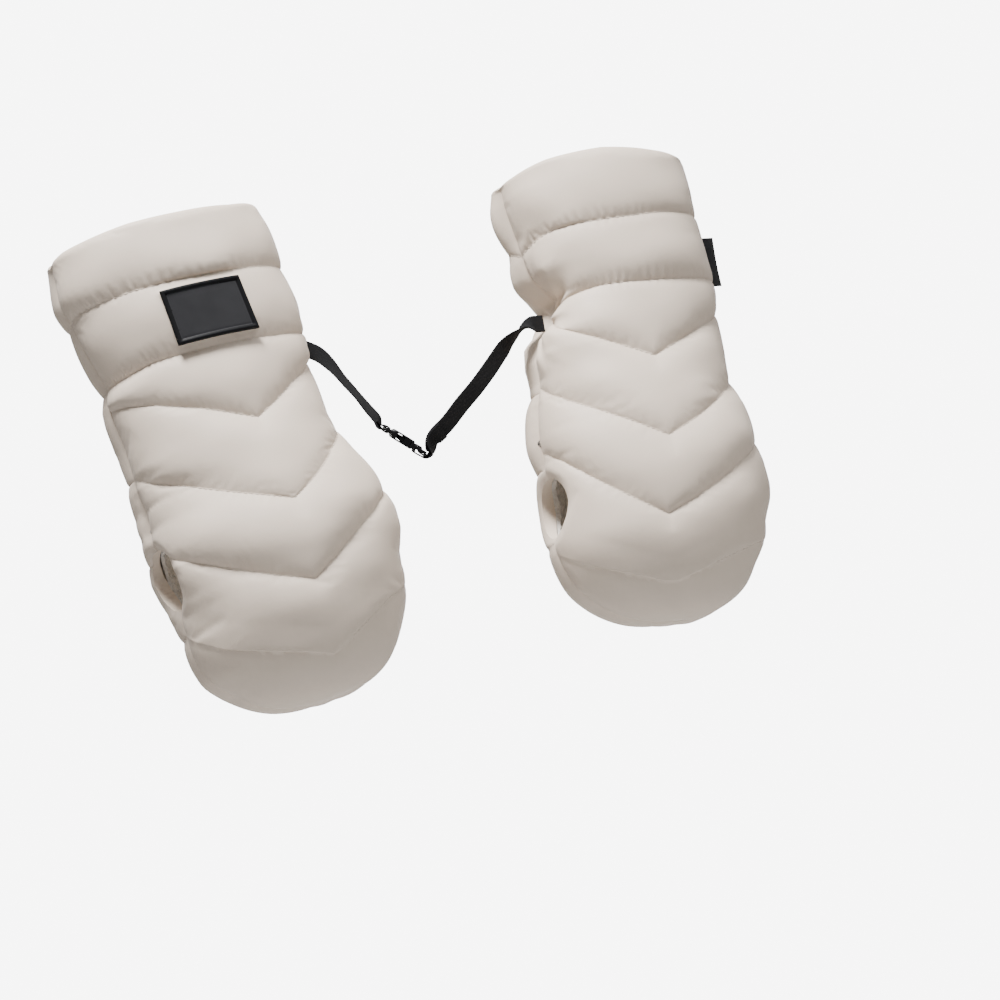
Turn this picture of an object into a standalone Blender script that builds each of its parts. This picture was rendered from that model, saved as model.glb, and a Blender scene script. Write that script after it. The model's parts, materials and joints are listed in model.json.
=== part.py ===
"""Stroller hand muffs: two quilted mitts that sit on a push bar, joined by a strap with a side-release buckle.

The origin is on the push bar's axis, midway between the muffs. +X runs along the bar, +Z up, -Y to the front.
"""

import math

import bmesh
import bpy
from mathutils import Matrix, Vector

# Push bar and where the muffs sit on it
BAR_DIAMETER = 0.040
BAR_CLEARANCE = 0.001
MUFF_SPACING = 0.287
MUFF_LEAN = math.radians(5.0)

# Gaps between pieces that touch
GAP = 0.0003
OVERRUN = 0.002

# Muff heights, all from its lowest point
MUFF_LENGTH = 0.336
BAR_HEIGHT = 0.100
BULB_HEIGHT_SHARE = 0.32143
WAIST_HEIGHT_SHARE = 0.60417
CUFF_HEIGHT_SHARE = 0.89286
BULB_HEIGHT = MUFF_LENGTH * BULB_HEIGHT_SHARE
WAIST_HEIGHT = MUFF_LENGTH * WAIST_HEIGHT_SHARE
CUFF_HEIGHT = MUFF_LENGTH * CUFF_HEIGHT_SHARE

# Muff girth along the quilting lines: full width across and full depth from front to back
BULB_WIDTH = 0.164
WAIST_WIDTH = 0.134
CUFF_WIDTH = 0.142
RIM_WIDTH = 0.138
BULB_DEPTH = 0.126
WAIST_DEPTH = 0.104
CUFF_DEPTH = 0.110
RIM_DEPTH = 0.106
BULB_ROUNDNESS = 2.4

# Quilting: cuff band, first band, then chevrons that drop from the seams to the panel's middle
CUFF_BAND = 0.047
PATCH_BAND = 0.049
CHEVRON_BELOW_BAND = 0.007
CHEVRON_PITCH_SHARE = 0.2382
CHEVRON_DROP_SHARE = 0.206
CHEVRON_COUNT = 4
CUFF_LINE = MUFF_LENGTH - CUFF_BAND
PATCH_LINE = CUFF_LINE - PATCH_BAND
CHEVRON_TOP = PATCH_LINE - CHEVRON_BELOW_BAND
CHEVRON_PITCH = CHEVRON_TOP * CHEVRON_PITCH_SHARE
CHEVRON_DROP = CHEVRON_TOP * CHEVRON_DROP_SHARE
STRAIGHT_LINE_SHARE = 0.5
PUFF = 0.0050
PUFF_POWER = 0.75
SEAM_PUFF_SHARE = 0.35

# Walls
WALL = 0.009
LINING = 0.0030
LINING_GAP = 0.0004
FACING = 0.0015
FACING_BAND_SHARE = 0.5

# Mesh counts
COLUMNS = 16
BAR_SIDES = 32
OUTER_STEPS = 4
INNER_STEPS = 2

# Snap fasteners in the flap's side seams
SNAP_RADIUS = 0.0029
SNAP_BASE = 0.0018
SNAP_OFFSET = 0.041
STUD_NECK_RADIUS = 0.0009
STUD_HEAD_RADIUS = 0.0012
STUD_LENGTH = 0.0014
STUD_TIP_SHARE = 0.7
STUD_NECK_SHARE = 0.33
SOCKET_CLEARANCE = 0.0002
SNAP_SIDES = 12

# Webbing strap
WEBBING_WIDTH = 0.0125
WEBBING_THICKNESS = 0.0011
WEBBING_LAYER_GAP = 0.0004
WEBBING_SEWN_IN = 0.005
STRAP_LEAD = 0.003
STRAP_BELOW_BAND = {"left": 0.0015, "right": 0.0115}
SEAM_DRAWS = {"left": 0.003, "right": 0.008}
SEAM_DRAW_HEIGHT = 0.030
SEAM_DRAW_SHARE = 0.22

# Side-release buckle, in its own frame: x along the strap, y across it, z through it
BUCKLE_CENTRE = (-0.0278, 0.0, 0.0663)
BUCKLE_SLOPE = math.radians(42.0)
BUCKLE_ROLL = math.radians(24.6)
BUCKLE_WIDTH = 0.0175
BUCKLE_THICKNESS = 0.0066
BUCKLE_EDGE = 0.0007
FRAME_THICKNESS = 0.0024
CROSSBAR = 0.0022
WEBBING_SLOT = 0.0028
SLOT_WIDTH = 0.0133
FEMALE_LENGTH = 0.0200
SLEEVE_WALL = 0.0012
SLEEVE_SIDE_WALL = 0.0018
SLEEVE_TAPER = 0.0020
SOCKET_DEPTH = 0.0118
WINDOW_LENGTH = 0.0058
WINDOW_FROM_MOUTH = 0.0052
MALE_BLOCK = 0.0028
GUIDE_WIDTH = 0.0032
GUIDE_THICKNESS = 0.0028
GUIDE_LENGTH = 0.0105
PRONG_THICKNESS = 0.0034
PRONG_ARM = 0.0016
PRONG_INSET = 0.0008
PRONG_TIP = 0.0095
PRONG_SLOPE_SHARE = 0.33
BARB_REACH = 0.0012

# Rubber patch on the left muff and folded side label on the right one
PATCH_SPAN_SHARE = 0.25
PATCH_THICKNESS = 0.0014
PATCH_BORDER_RISE = 0.0006
PATCH_COLUMN_SHARES = (-1.0, -0.90, -0.87, -0.5, 0.0, 0.5, 0.87, 0.90, 1.0)
PATCH_ROW_SHARES = (0.11, 0.165, 0.18, 0.25, 0.5, 0.75, 0.82, 0.835, 0.89)
PATCH_BORDER_SHARE = 0.89
LABEL_ABOVE_BAND = 0.027
LABEL_TALL = 0.037
LABEL_REACH = 0.017
LABEL_SEWN_IN = 0.005
LABEL_THICKNESS = 0.0012
LABEL_FOLD = 0.0004

# The strap's free routes between the seams and the buckle, and the way its width faces along them
LEFT_ROUTE = (
    (-0.0745, 0.0, 0.1372), (-0.0672, 0.0, 0.1283), (-0.0604, 0.0, 0.1157),
    (-0.0536, 0.0, 0.1037), (-0.0479, 0.0, 0.0930),
)
LEFT_FACING = (
    (-0.05, 0.10, 1.00), (0.00, 0.30, 0.95), (0.08, 0.50, 0.88),
    (0.15, 0.68, 0.74), (0.22, 0.82, 0.55),
)
RIGHT_ROUTE = (
    (0.0863, 0.0, 0.1322), (0.0802, -0.001, 0.1292), (0.0702, -0.002, 0.1238), (0.0621, -0.003, 0.1180),
    (0.0487, -0.004, 0.1063), (0.0334, -0.005, 0.0938), (0.0220, -0.005, 0.0854), (0.0080, -0.005, 0.0752),
    (-0.0030, -0.0045, 0.0658),
)
RIGHT_FACING = (
    (0.25, 0.72, 0.62), (0.44, 0.90, 0.02), (0.60, 0.70, -0.36), (0.74, 0.38, -0.57),
    (0.74, 0.285, -0.61), (0.74, 0.32, -0.58), (0.73, 0.45, -0.50), (0.66, 0.66, -0.34),
    (0.50, 0.84, -0.05),
)
ROUTE_STEPS = 4
TAIL_SHARE = 0.62

# The strap's route through the buckle: shares of the loop's radius along and through the buckle, from the
# crossbar that it goes round, and how many layers of webbing lie beneath it
LEFT_LOOP_SHARES = (
    (-4.5, 0.0, -0.5), (-2.5, 0.0, -0.65), (-0.5, -1.0, 0.0), (0.71, -0.71, 0.0), (1.0, 0.0, 0.0),
    (0.71, 0.71, 0.0), (-0.5, 1.0, 0.0), (-2.5, 0.0, 0.65), (-3.6, 0.12, 0.6), (-4.4, 0.62, 0.4), (-5.1, 1.3, 0.2),
)
END_BAR_IN_SHARES = (
    (3.2, 1.5, 0.0, 0.0), (2.7, -0.3, 0.0, 0.0), (1.2, -0.98, 0.0, 0.0), (0.0, -1.0, 0.0, 0.0),
    (-0.72, -0.85, 0.0, 0.0),
)
MIDDLE_BAR_SHARES = (
    (1.04, -0.35, 0.0, 0.0), (1.0, 0.25, 0.0, 0.0), (0.72, 0.72, 0.0, 0.0), (0.0, 1.0, 0.0, 0.0),
    (-0.72, 0.72, 0.0, 0.0), (-1.0, 0.0, 0.0, 0.0), (-1.0, -1.0, 0.0, 0.0), (-0.55, -1.75, 0.0, 0.0),
    (0.3, -1.0, 0.0, -1.15),
)
END_BAR_OUT_SHARES = (
    (0.0, -1.0, 0.0, -1.0), (1.5, -0.98, 0.0, -1.0), (2.7, -0.3, 0.8, -0.75), (3.2, 1.4, 1.0, 0.0),
)

# Colours: red, green, blue, roughness, metallic
FABRIC = ("muff_fabric", (0.66, 0.61, 0.56), 0.62, 0.0)
FLEECE = ("fleece_lining", (0.74, 0.70, 0.64), 0.95, 0.0)
BLACK_WEBBING = ("black_webbing", (0.012, 0.012, 0.013), 0.75, 0.0)
BLACK_PLASTIC = ("black_plastic", (0.010, 0.010, 0.011), 0.35, 0.0)
RUBBER = ("patch_rubber", (0.045, 0.045, 0.047), 0.45, 0.0)
LABEL_CLOTH = ("label_cloth", (0.014, 0.014, 0.015), 0.7, 0.0)
SNAP_METAL = ("snap_metal", (0.55, 0.53, 0.50), 0.3, 1.0)

SIDES = {"left": -1, "right": 1}
FRONT, BACK = -1, 1
WELD = 0.00001


def clear_scene():
    for thing in list(bpy.data.objects):
        bpy.data.objects.remove(thing, do_unlink=True)


def make_collection(name):
    collection = bpy.data.collections.new(name)
    bpy.context.scene.collection.children.link(collection)
    return collection


def material(finish):
    """The Principled material of one finish, made once."""
    name, colour, roughness, metallic = finish
    found = bpy.data.materials.get(name)
    if found:
        return found
    made = bpy.data.materials.new(name)
    made.use_nodes = True
    shader = made.node_tree.nodes["Principled BSDF"]
    shader.inputs["Base Color"].default_value = (*colour, 1.0)
    shader.inputs["Roughness"].default_value = roughness
    shader.inputs["Metallic"].default_value = metallic
    made.diffuse_color = (*colour, 1.0)
    return made


def make_object(name, bm, finish, parent, smooth_angle=math.radians(40)):
    """A named part from a bmesh, in its parent's frame."""
    bmesh.ops.recalc_face_normals(bm, faces=bm.faces)
    mesh = bpy.data.meshes.new(name)
    bm.to_mesh(mesh)
    bm.free()
    mesh.shade_smooth()
    mesh.set_sharp_from_angle(angle=smooth_angle)
    mesh.materials.append(material(finish))
    made = bpy.data.objects.new(name, mesh)
    PARTS.objects.link(made)
    made.parent = parent
    return made


def make_cutter(name, bm, parent=None):
    """A hidden solid that others are cut or joined with."""
    bmesh.ops.recalc_face_normals(bm, faces=bm.faces)
    mesh = bpy.data.meshes.new(name)
    bm.to_mesh(mesh)
    bm.free()
    made = bpy.data.objects.new(name, mesh)
    CUTTERS.objects.link(made)
    made.parent = parent
    made.hide_render = True
    made.display_type = "WIRE"
    return made


def boolean(target, operand, operation="DIFFERENCE"):
    change = target.modifiers.new(operation.lower(), "BOOLEAN")
    change.operation = operation
    change.solver = "EXACT"
    change.object = operand


def empty(name, matrix, parent=None):
    made = bpy.data.objects.new(name, None)
    PARTS.objects.link(made)
    made.parent = parent
    made.matrix_local = matrix
    return made


def add_box(bm, low, high):
    """A box between two corners."""
    size = Vector(high) - Vector(low)
    centre = (Vector(high) + Vector(low)) / 2
    place = Matrix.Translation(centre) @ Matrix.Diagonal((*size, 1.0))
    return bmesh.ops.create_cube(bm, size=1.0, matrix=place)["verts"]


def add_cylinder(bm, radius, length, matrix, sides):
    """A cylinder along its own z, centred on the matrix's place."""
    bmesh.ops.create_cone(bm, cap_ends=True, segments=sides, radius1=radius, radius2=radius,
                          depth=length, matrix=matrix)


def add_prism(bm, outline, width, to_space):
    """An outline of two coordinates, extruded evenly to both sides."""
    verts = [bm.verts.new(to_space(u, v, -width / 2)) for u, v in outline]
    face = bm.faces.new(verts)
    grown = bmesh.ops.extrude_face_region(bm, geom=[face])["geom"]
    shift = to_space(0, 0, width) - to_space(0, 0, 0)
    bmesh.ops.translate(bm, vec=shift, verts=[g for g in grown if isinstance(g, bmesh.types.BMVert)])


def bevel_all(bm, width, segments=2):
    sharp = [edge for edge in bm.edges if edge.calc_face_angle(0) > math.radians(30)]
    bmesh.ops.bevel(bm, geom=sharp, offset=width, segments=segments, profile=0.5, affect="EDGES",
                    clamp_overlap=True)


# Muff shape

class Muff:
    """One mitt: its side of the bar, the frame that it stands in and its girth."""

    def __init__(self, name):
        self.name = name
        self.side = SIDES[name]
        self.strap_side = -self.side
        self.strap_height = PATCH_LINE - STRAP_BELOW_BAND[name]
        self.draw = SEAM_DRAWS[name]
        place = Matrix.Translation((self.side * MUFF_SPACING / 2, 0, 0))
        self.matrix = place @ Matrix.Rotation(self.side * MUFF_LEAN, 4, "Y")
        self.frame = empty(f"{name}_muff_frame", self.matrix)

    def half_sizes(self, height):
        """Half width and half depth of the quilted surface at a height over the bulb."""
        stops = (
            (BULB_HEIGHT, BULB_WIDTH, BULB_DEPTH), (WAIST_HEIGHT, WAIST_WIDTH, WAIST_DEPTH),
            (CUFF_HEIGHT, CUFF_WIDTH, CUFF_DEPTH), (MUFF_LENGTH, RIM_WIDTH, RIM_DEPTH),
        )
        for (low, width_a, depth_a), (high, width_b, depth_b) in zip(stops, stops[1:]):
            if height <= high:
                break
        share = min(max((height - low) / (high - low), 0.0), 1.0)
        ease = (1 - math.cos(math.pi * share)) / 2
        return (width_a + (width_b - width_a) * ease) / 2, (depth_a + (depth_b - depth_a) * ease) / 2

    def seam_draw(self, p, height):
        """How far the strap's stitching draws the side seam in."""
        if p * self.strap_side <= 0:
            return 0.0
        along = (height - self.strap_height) / SEAM_DRAW_HEIGHT
        across = (1 - abs(p)) / SEAM_DRAW_SHARE
        return self.draw * math.exp(-along * along - across * across)

    def skin(self, face, p, height, inset):
        """A point of the muff in its own frame. p runs from one side seam, -1, to the other, 1."""
        if height < BULB_HEIGHT:
            drop = (BULB_HEIGHT - height) / BULB_HEIGHT
            round_share = max(1 - drop ** BULB_ROUNDNESS, 0.0) ** (1 / BULB_ROUNDNESS)
            half_width = (BULB_WIDTH / 2 - inset) * round_share
            half_depth = (BULB_DEPTH / 2 - inset) * round_share
            z = BULB_HEIGHT - drop * (BULB_HEIGHT - inset)
        else:
            width, depth = self.half_sizes(height)
            half_width, half_depth, z = width - inset, depth - inset, height
        half_width -= self.seam_draw(p, height)
        angle = p * math.pi / 2
        x = half_width * math.sin(angle)
        y = face * (half_depth * math.cos(angle) + GAP / 2)
        return Vector((x, y, z - BAR_HEIGHT))

    def seam_point(self, end, height, inset=0.0):
        point = self.skin(FRONT, end, height, inset)
        point.y = 0.0
        return point


def front_lines():
    """Heights of the front panel's quilting lines: at the seams, and their drop in the middle."""
    lines = [(MUFF_LENGTH, 0.0), (CUFF_LINE, 0.0), (PATCH_LINE, 0.0)]
    lines += [(CHEVRON_TOP - k * CHEVRON_PITCH, CHEVRON_DROP) for k in range(CHEVRON_COUNT)]
    return lines + [(0.0, 0.0)]


def hinge_height():
    return CHEVRON_TOP - CHEVRON_PITCH


def back_lines():
    return [(MUFF_LENGTH, 0.0), (CUFF_LINE, 0.0), (PATCH_LINE, 0.0), (hinge_height() + GAP / 2, 0.0)]


def flap_lines():
    first = hinge_height()
    return [(first - GAP / 2, 0.0), (first - CHEVRON_PITCH, 0.0), (first - 2 * CHEVRON_PITCH, 0.0), (0.0, 0.0)]


def line_height(line, p):
    """A chevron falls evenly along the cloth, and a little straighter seen from the front."""
    seam, drop = line
    across = abs(p) * (1 - STRAIGHT_LINE_SHARE) + abs(math.sin(p * math.pi / 2)) * STRAIGHT_LINE_SHARE
    return seam - drop * (1 - across)


def grid(muff, face, lines, steps, inset, puff=0.0, start=0.0, stop=None):
    """Rows of points between quilting lines, swollen between them by puff."""
    rows = []
    last = len(lines) - 1
    for band in range(last):
        to_tip = lines[band + 1] == (0.0, 0.0)
        for step in range(steps + (band == last - 1)):
            share = step / steps
            if band == 0:
                share = start + share * (1 - start) if stop is None else start + share * (stop - start)
            crown = max(math.sin(math.pi * share), 0.0) ** PUFF_POWER
            row = []
            for column in range(COLUMNS + 1):
                p = 2 * column / COLUMNS - 1
                upper, lower = line_height(lines[band], p), line_height(lines[band + 1], p)
                height = upper * (1 - share) ** 2 if to_tip else upper + (lower - upper) * share
                swell = puff * crown * (1 - (1 - SEAM_PUFF_SHARE) * p ** 4)
                row.append(muff.skin(face, p, height, inset - swell))
            rows.append(row)
    return rows


def closed_shell(outer, inner, ring=False):
    """A closed solid between two skins of points. The outer one may have more rows than the inner one."""
    bm = bmesh.new()
    skins = []
    for rows in (outer, inner):
        made = []
        for row in rows:
            pole = all((point - row[0]).length < WELD for point in row)
            made.append([bm.verts.new(row[0])] * len(row) if pole else [bm.verts.new(point) for point in row])
        skins.append(made)
    count = len(outer[0])

    def face(*verts):
        distinct = list(dict.fromkeys(verts))
        if len(distinct) > 2:
            bm.faces.new(distinct)

    spans = [(i, (i + 1) % count) for i in range(count if ring else count - 1)]
    for rows in skins:
        for upper, lower in zip(rows, rows[1:]):
            for i, j in spans:
                face(upper[i], upper[j], lower[j], lower[i])
    outside, inside = skins
    for i, j in spans:
        face(outside[0][i], outside[0][j], inside[0][j], inside[0][i])
        face(outside[-1][i], outside[-1][j], inside[-1][j], inside[-1][i])
    if not ring:
        ratio = (len(outside) - 1) // (len(inside) - 1)
        for i in (0, count - 1):
            for k in range(len(inside) - 1):
                far = [outside[n][i] for n in range((k + 1) * ratio, k * ratio - 1, -1)]
                face(inside[k][i], inside[k + 1][i], *far)
    return bm


def flap_hinge(muff):
    """The flap's hinge line: the back's outermost point at the seam over the flap."""
    point = muff.skin(BACK, 0.0, hinge_height(), 0.0)
    return Vector((0.0, point.y, point.z))


def moved(bm, shift):
    bmesh.ops.translate(bm, vec=shift, verts=bm.verts)
    return bm


def seam_cutter(muff):
    """The push bar's way through both side seams, the snaps' seats and the slots of what is sewn in."""
    bm = bmesh.new()
    bar_way = Matrix.Rotation(-muff.side * MUFF_LEAN, 4, "Y") @ Matrix.Rotation(math.pi / 2, 4, "Y")
    add_cylinder(bm, BAR_DIAMETER / 2 + BAR_CLEARANCE, BULB_WIDTH + CUFF_WIDTH, bar_way, BAR_SIDES)
    for point in snap_points(muff):
        place = Matrix.Translation(point) @ Matrix.Rotation(math.pi / 2, 4, "X")
        add_cylinder(bm, SNAP_RADIUS + GAP, 2 * (SNAP_BASE + GAP) + GAP, place, SNAP_SIDES)
    add_slot(bm, muff, muff.strap_side, muff.strap_height, WEBBING_WIDTH, WEBBING_THICKNESS, WEBBING_SEWN_IN)
    if muff.name == "right":
        add_slot(bm, muff, muff.side, PATCH_LINE + LABEL_ABOVE_BAND, LABEL_TALL, LABEL_THICKNESS, LABEL_SEWN_IN)
    return make_cutter(f"{muff.name}_seam_cutter", bm, muff.frame)


def add_slot(bm, muff, end, height, tall, thick, depth):
    """A slot in a side seam for something flat that is sewn into it."""
    seam = muff.seam_point(end, height)
    inner = seam.x - end * (depth + GAP)
    outer = seam.x + end * (depth + OVERRUN)
    low = (min(inner, outer), -thick / 2 - GAP, seam.z - tall / 2 - GAP)
    high = (max(inner, outer), thick / 2 + GAP, seam.z + tall / 2 + GAP)
    add_box(bm, low, high)


def snap_points(muff):
    return [
        muff.seam_point(end, BAR_HEIGHT + rise * SNAP_OFFSET, WALL / 2)
        for end in (-1, 1)
        for rise in (-1, 1)
    ]


def build_muff(muff):
    """The quilted panels, their linings, the flap that closes round the bar, and the cuff's facing."""
    name = muff.name
    hinge = flap_hinge(muff)
    flap_frame = empty(f"{name}_flap_hinge", Matrix.Translation(hinge), muff.frame)
    cutter = seam_cutter(muff)
    lining_inset = WALL + LINING_GAP
    sections = (
        ("front", FRONT, front_lines(), muff.frame, Vector()),
        ("back", BACK, back_lines(), muff.frame, Vector()),
        ("flap", BACK, flap_lines(), flap_frame, -hinge),
    )
    for section, face, lines, parent, shift in sections:
        outer = grid(muff, face, lines, OUTER_STEPS, 0.0, PUFF)
        inner = grid(muff, face, lines, INNER_STEPS, WALL)
        panel = make_object(f"{name}_{section}_panel", moved(closed_shell(outer, inner), shift), FABRIC, parent)
        boolean(panel, cutter)
        top = 0.0
        if section != "flap":
            top = FACING_BAND_SHARE + GAP / CUFF_BAND
        outer = grid(muff, face, lines, INNER_STEPS, lining_inset, start=top)
        inner = grid(muff, face, lines, INNER_STEPS, lining_inset + LINING, start=top)
        lining = make_object(f"{name}_{section}_lining", moved(closed_shell(outer, inner), shift), FLEECE, parent)
        if section != "back":
            boolean(lining, cutter)
    build_facing(muff)
    build_snaps(muff, flap_frame, hinge)


def build_facing(muff):
    """The shell cloth turned in at the cuff, one ring round both panels."""
    cuff = front_lines()[:2]
    skins = []
    for inset in (WALL + LINING_GAP, WALL + LINING_GAP + FACING):
        halves = [grid(muff, face, cuff, 1, inset, stop=FACING_BAND_SHARE) for face in (FRONT, BACK)]
        skins.append([front[:-1] + back[:0:-1] for front, back in zip(*halves)])
    make_object(f"{muff.name}_cuff_facing", closed_shell(*skins, ring=True), FABRIC, muff.frame)


def turned(name, profile, finish, parent, location, rotation):
    """A profile of radii and heights turned about z."""
    mesh = bpy.data.meshes.new(name)
    mesh.from_pydata([(radius, 0.0, z) for radius, z in profile], [(i, i + 1) for i in range(len(profile) - 1)], [])
    mesh.materials.append(material(finish))
    made = bpy.data.objects.new(name, mesh)
    PARTS.objects.link(made)
    made.parent = parent
    made.location = location
    made.rotation_euler = rotation
    screw = made.modifiers.new("turn", "SCREW")
    screw.axis = "Z"
    screw.steps = screw.render_steps = SNAP_SIDES
    screw.use_merge_vertices = True
    screw.merge_threshold = WELD
    screw.use_smooth_shade = True
    return made


def build_snaps(muff, flap_frame, hinge):
    """Sockets in the front panel's edge and studs in the flap's edge, two above and two below the bar."""
    top = SNAP_BASE
    head = top + STUD_LENGTH
    neck = top + STUD_LENGTH * STUD_NECK_SHARE
    stud = ((0.0, head), (STUD_HEAD_RADIUS * STUD_TIP_SHARE, head), (STUD_HEAD_RADIUS, (head + neck) / 2),
            (STUD_NECK_RADIUS, neck), (STUD_NECK_RADIUS, top), (SNAP_RADIUS, top), (SNAP_RADIUS, 0.0), (0.0, 0.0))
    hole_radius = STUD_HEAD_RADIUS + SOCKET_CLEARANCE
    hole_bottom = top + GAP - STUD_LENGTH - SOCKET_CLEARANCE
    socket = ((0.0, hole_bottom), (hole_radius, hole_bottom), (hole_radius, top), (SNAP_RADIUS, top),
              (SNAP_RADIUS, 0.0), (0.0, 0.0))
    places = ("lower_left", "upper_left", "lower_right", "upper_right")
    reach = Vector((0.0, SNAP_BASE + GAP / 2, 0.0))
    for place, point in zip(places, snap_points(muff)):
        turned(f"{muff.name}_snap_socket_{place}", socket, SNAP_METAL, muff.frame,
               point - reach, (-math.pi / 2, 0, 0))
        turned(f"{muff.name}_snap_stud_{place}", stud, SNAP_METAL, flap_frame,
               point + reach - hinge, (math.pi / 2, 0, 0))


# Patch and label

def build_patch(muff):
    """A moulded rubber patch that follows the quilted band, with a raised border and a bare face."""
    rows = grid(muff, FRONT, front_lines(), OUTER_STEPS, 0.0, PUFF)
    half_span = PATCH_SPAN_SHARE * COLUMNS / 2

    def on_panel(row_share, column_share):
        row = OUTER_STEPS * (1 + row_share)
        column = COLUMNS / 2 + column_share * half_span
        i, j = int(row), int(column)
        u, v = row - i, column - j
        upper = rows[i][j].lerp(rows[i][j + 1], v)
        lower = rows[i + 1][j].lerp(rows[i + 1][j + 1], v)
        return upper.lerp(lower, u)

    middle = (PATCH_ROW_SHARES[0] + PATCH_ROW_SHARES[-1]) / 2
    half_rows = (PATCH_ROW_SHARES[-1] - PATCH_ROW_SHARES[0]) / 2
    skins = ([], [])
    for row_share in PATCH_ROW_SHARES:
        line = ([], [])
        for column_share in PATCH_COLUMN_SHARES:
            point = on_panel(row_share, column_share)
            outward = Vector((point.x / CUFF_WIDTH, point.y / CUFF_DEPTH, 0.0)).normalized()
            edge = max(abs(column_share), abs(row_share - middle) / half_rows)
            rise = PATCH_BORDER_RISE if edge > PATCH_BORDER_SHARE else 0.0
            line[0].append(point + outward * (2 * GAP + PATCH_THICKNESS + rise))
            line[1].append(point + outward * 2 * GAP)
        skins[0].append(line[0])
        skins[1].append(line[1])
    make_object(f"{muff.name}_rubber_patch", closed_shell(*skins), RUBBER, muff.frame)


def build_label(muff):
    """A folded cloth label sewn into the outer side seam."""
    seam = muff.seam_point(muff.side, PATCH_LINE + LABEL_ABOVE_BAND)
    inner = seam.x - muff.side * LABEL_SEWN_IN
    outer = seam.x + muff.side * LABEL_REACH
    bm = bmesh.new()
    add_box(bm, (min(inner, outer), -LABEL_THICKNESS / 2, seam.z - LABEL_TALL / 2),
            (max(inner, outer), LABEL_THICKNESS / 2, seam.z + LABEL_TALL / 2))
    folded = [edge for edge in bm.edges
              if all(vert.co.x * muff.side > seam.x * muff.side for vert in edge.verts)
              and abs(edge.verts[0].co.z - edge.verts[1].co.z) > LABEL_THICKNESS]
    bmesh.ops.bevel(bm, geom=folded, offset=LABEL_FOLD, segments=2, profile=0.5, affect="EDGES")
    make_object(f"{muff.name}_side_label", bm, LABEL_CLOTH, muff.frame)


# Buckle

def buckle_matrix():
    """x down along the strap from left to right, y across it and nearly away from the viewer."""
    along = Vector((math.cos(BUCKLE_SLOPE), 0.0, -math.sin(BUCKLE_SLOPE)))
    level = Vector((math.sin(BUCKLE_SLOPE), 0.0, math.cos(BUCKLE_SLOPE)))
    across = Vector((0.0, math.cos(BUCKLE_ROLL), 0.0)) + level * math.sin(BUCKLE_ROLL)
    through = along.cross(across)
    turn = Matrix((along, across, through)).transposed().to_4x4()
    half_length = (FEMALE_LENGTH + GAP + male_length()) / 2
    return Matrix.Translation(BUCKLE_CENTRE) @ turn @ Matrix.Translation((-half_length, 0.0, 0.0))


def male_length():
    return MALE_BLOCK + 2 * WEBBING_SLOT + 2 * CROSSBAR


def side_view(u, v, w):
    return Vector((u, w, v))


def plan_view(u, v, w):
    return Vector((u, v, w))


def build_female(frame):
    """The receptacle: a tapered sleeve with side windows, and a frame with the strap's crossbar."""
    thin, thick = FRAME_THICKNESS / 2, BUCKLE_THICKNESS / 2
    neck = CROSSBAR + WEBBING_SLOT + GAP
    outline = ((0.0, -thin), (neck, -thin), (neck + SLEEVE_TAPER, -thick), (FEMALE_LENGTH, -thick),
               (FEMALE_LENGTH, thick), (neck + SLEEVE_TAPER, thick), (neck, thin), (0.0, thin))
    bm = bmesh.new()
    add_prism(bm, outline, BUCKLE_WIDTH, side_view)
    bevel_all(bm, BUCKLE_EDGE)
    body = make_object("buckle_female", bm, BLACK_PLASTIC, frame)
    cut = bmesh.new()
    add_box(cut, (CROSSBAR, -SLOT_WIDTH / 2, -thick), (CROSSBAR + WEBBING_SLOT, SLOT_WIDTH / 2, thick))
    boolean(body, make_cutter("female_slot_cutter", cut, frame))
    socket = bmesh.new()
    half_width = BUCKLE_WIDTH / 2 - SLEEVE_SIDE_WALL
    half_height = thick - SLEEVE_WALL
    add_box(socket, (FEMALE_LENGTH - SOCKET_DEPTH, -half_width, -half_height),
            (FEMALE_LENGTH + OVERRUN, half_width, half_height))
    boolean(body, make_cutter("female_socket_cutter", socket, frame))
    windows = bmesh.new()
    mouth_side = FEMALE_LENGTH - WINDOW_FROM_MOUTH
    add_box(windows, (mouth_side - WINDOW_LENGTH, -BUCKLE_WIDTH, -half_height),
            (mouth_side, BUCKLE_WIDTH, half_height))
    boolean(body, make_cutter("female_window_cutter", windows, frame))


def build_male(frame):
    """The plug: a block with a centre guide, and a ladder frame that the strap is laced through."""
    start = FEMALE_LENGTH + GAP
    end = start + male_length()
    thin, thick = FRAME_THICKNESS / 2, BUCKLE_THICKNESS / 2
    outline = ((start, -thick), (start + MALE_BLOCK / 2, -thick), (start + MALE_BLOCK, -thin), (end, -thin),
               (end, thin), (start + MALE_BLOCK, thin), (start + MALE_BLOCK / 2, thick), (start, thick))
    bm = bmesh.new()
    add_prism(bm, outline, BUCKLE_WIDTH, side_view)
    bevel_all(bm, BUCKLE_EDGE)
    body = make_object("buckle_male", bm, BLACK_PLASTIC, frame)
    guide = bmesh.new()
    add_box(guide, (start - GUIDE_LENGTH, -GUIDE_WIDTH / 2, -GUIDE_THICKNESS / 2),
            (start + MALE_BLOCK / 2, GUIDE_WIDTH / 2, GUIDE_THICKNESS / 2))
    boolean(body, make_cutter("male_guide", guide, frame), "UNION")
    slots = bmesh.new()
    for slot_start in male_slots():
        add_box(slots, (slot_start, -SLOT_WIDTH / 2, -thick), (slot_start + WEBBING_SLOT, SLOT_WIDTH / 2, thick))
    boolean(body, make_cutter("male_slot_cutter", slots, frame))


def male_slots():
    first = FEMALE_LENGTH + GAP + MALE_BLOCK
    return first, first + WEBBING_SLOT + CROSSBAR


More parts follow.
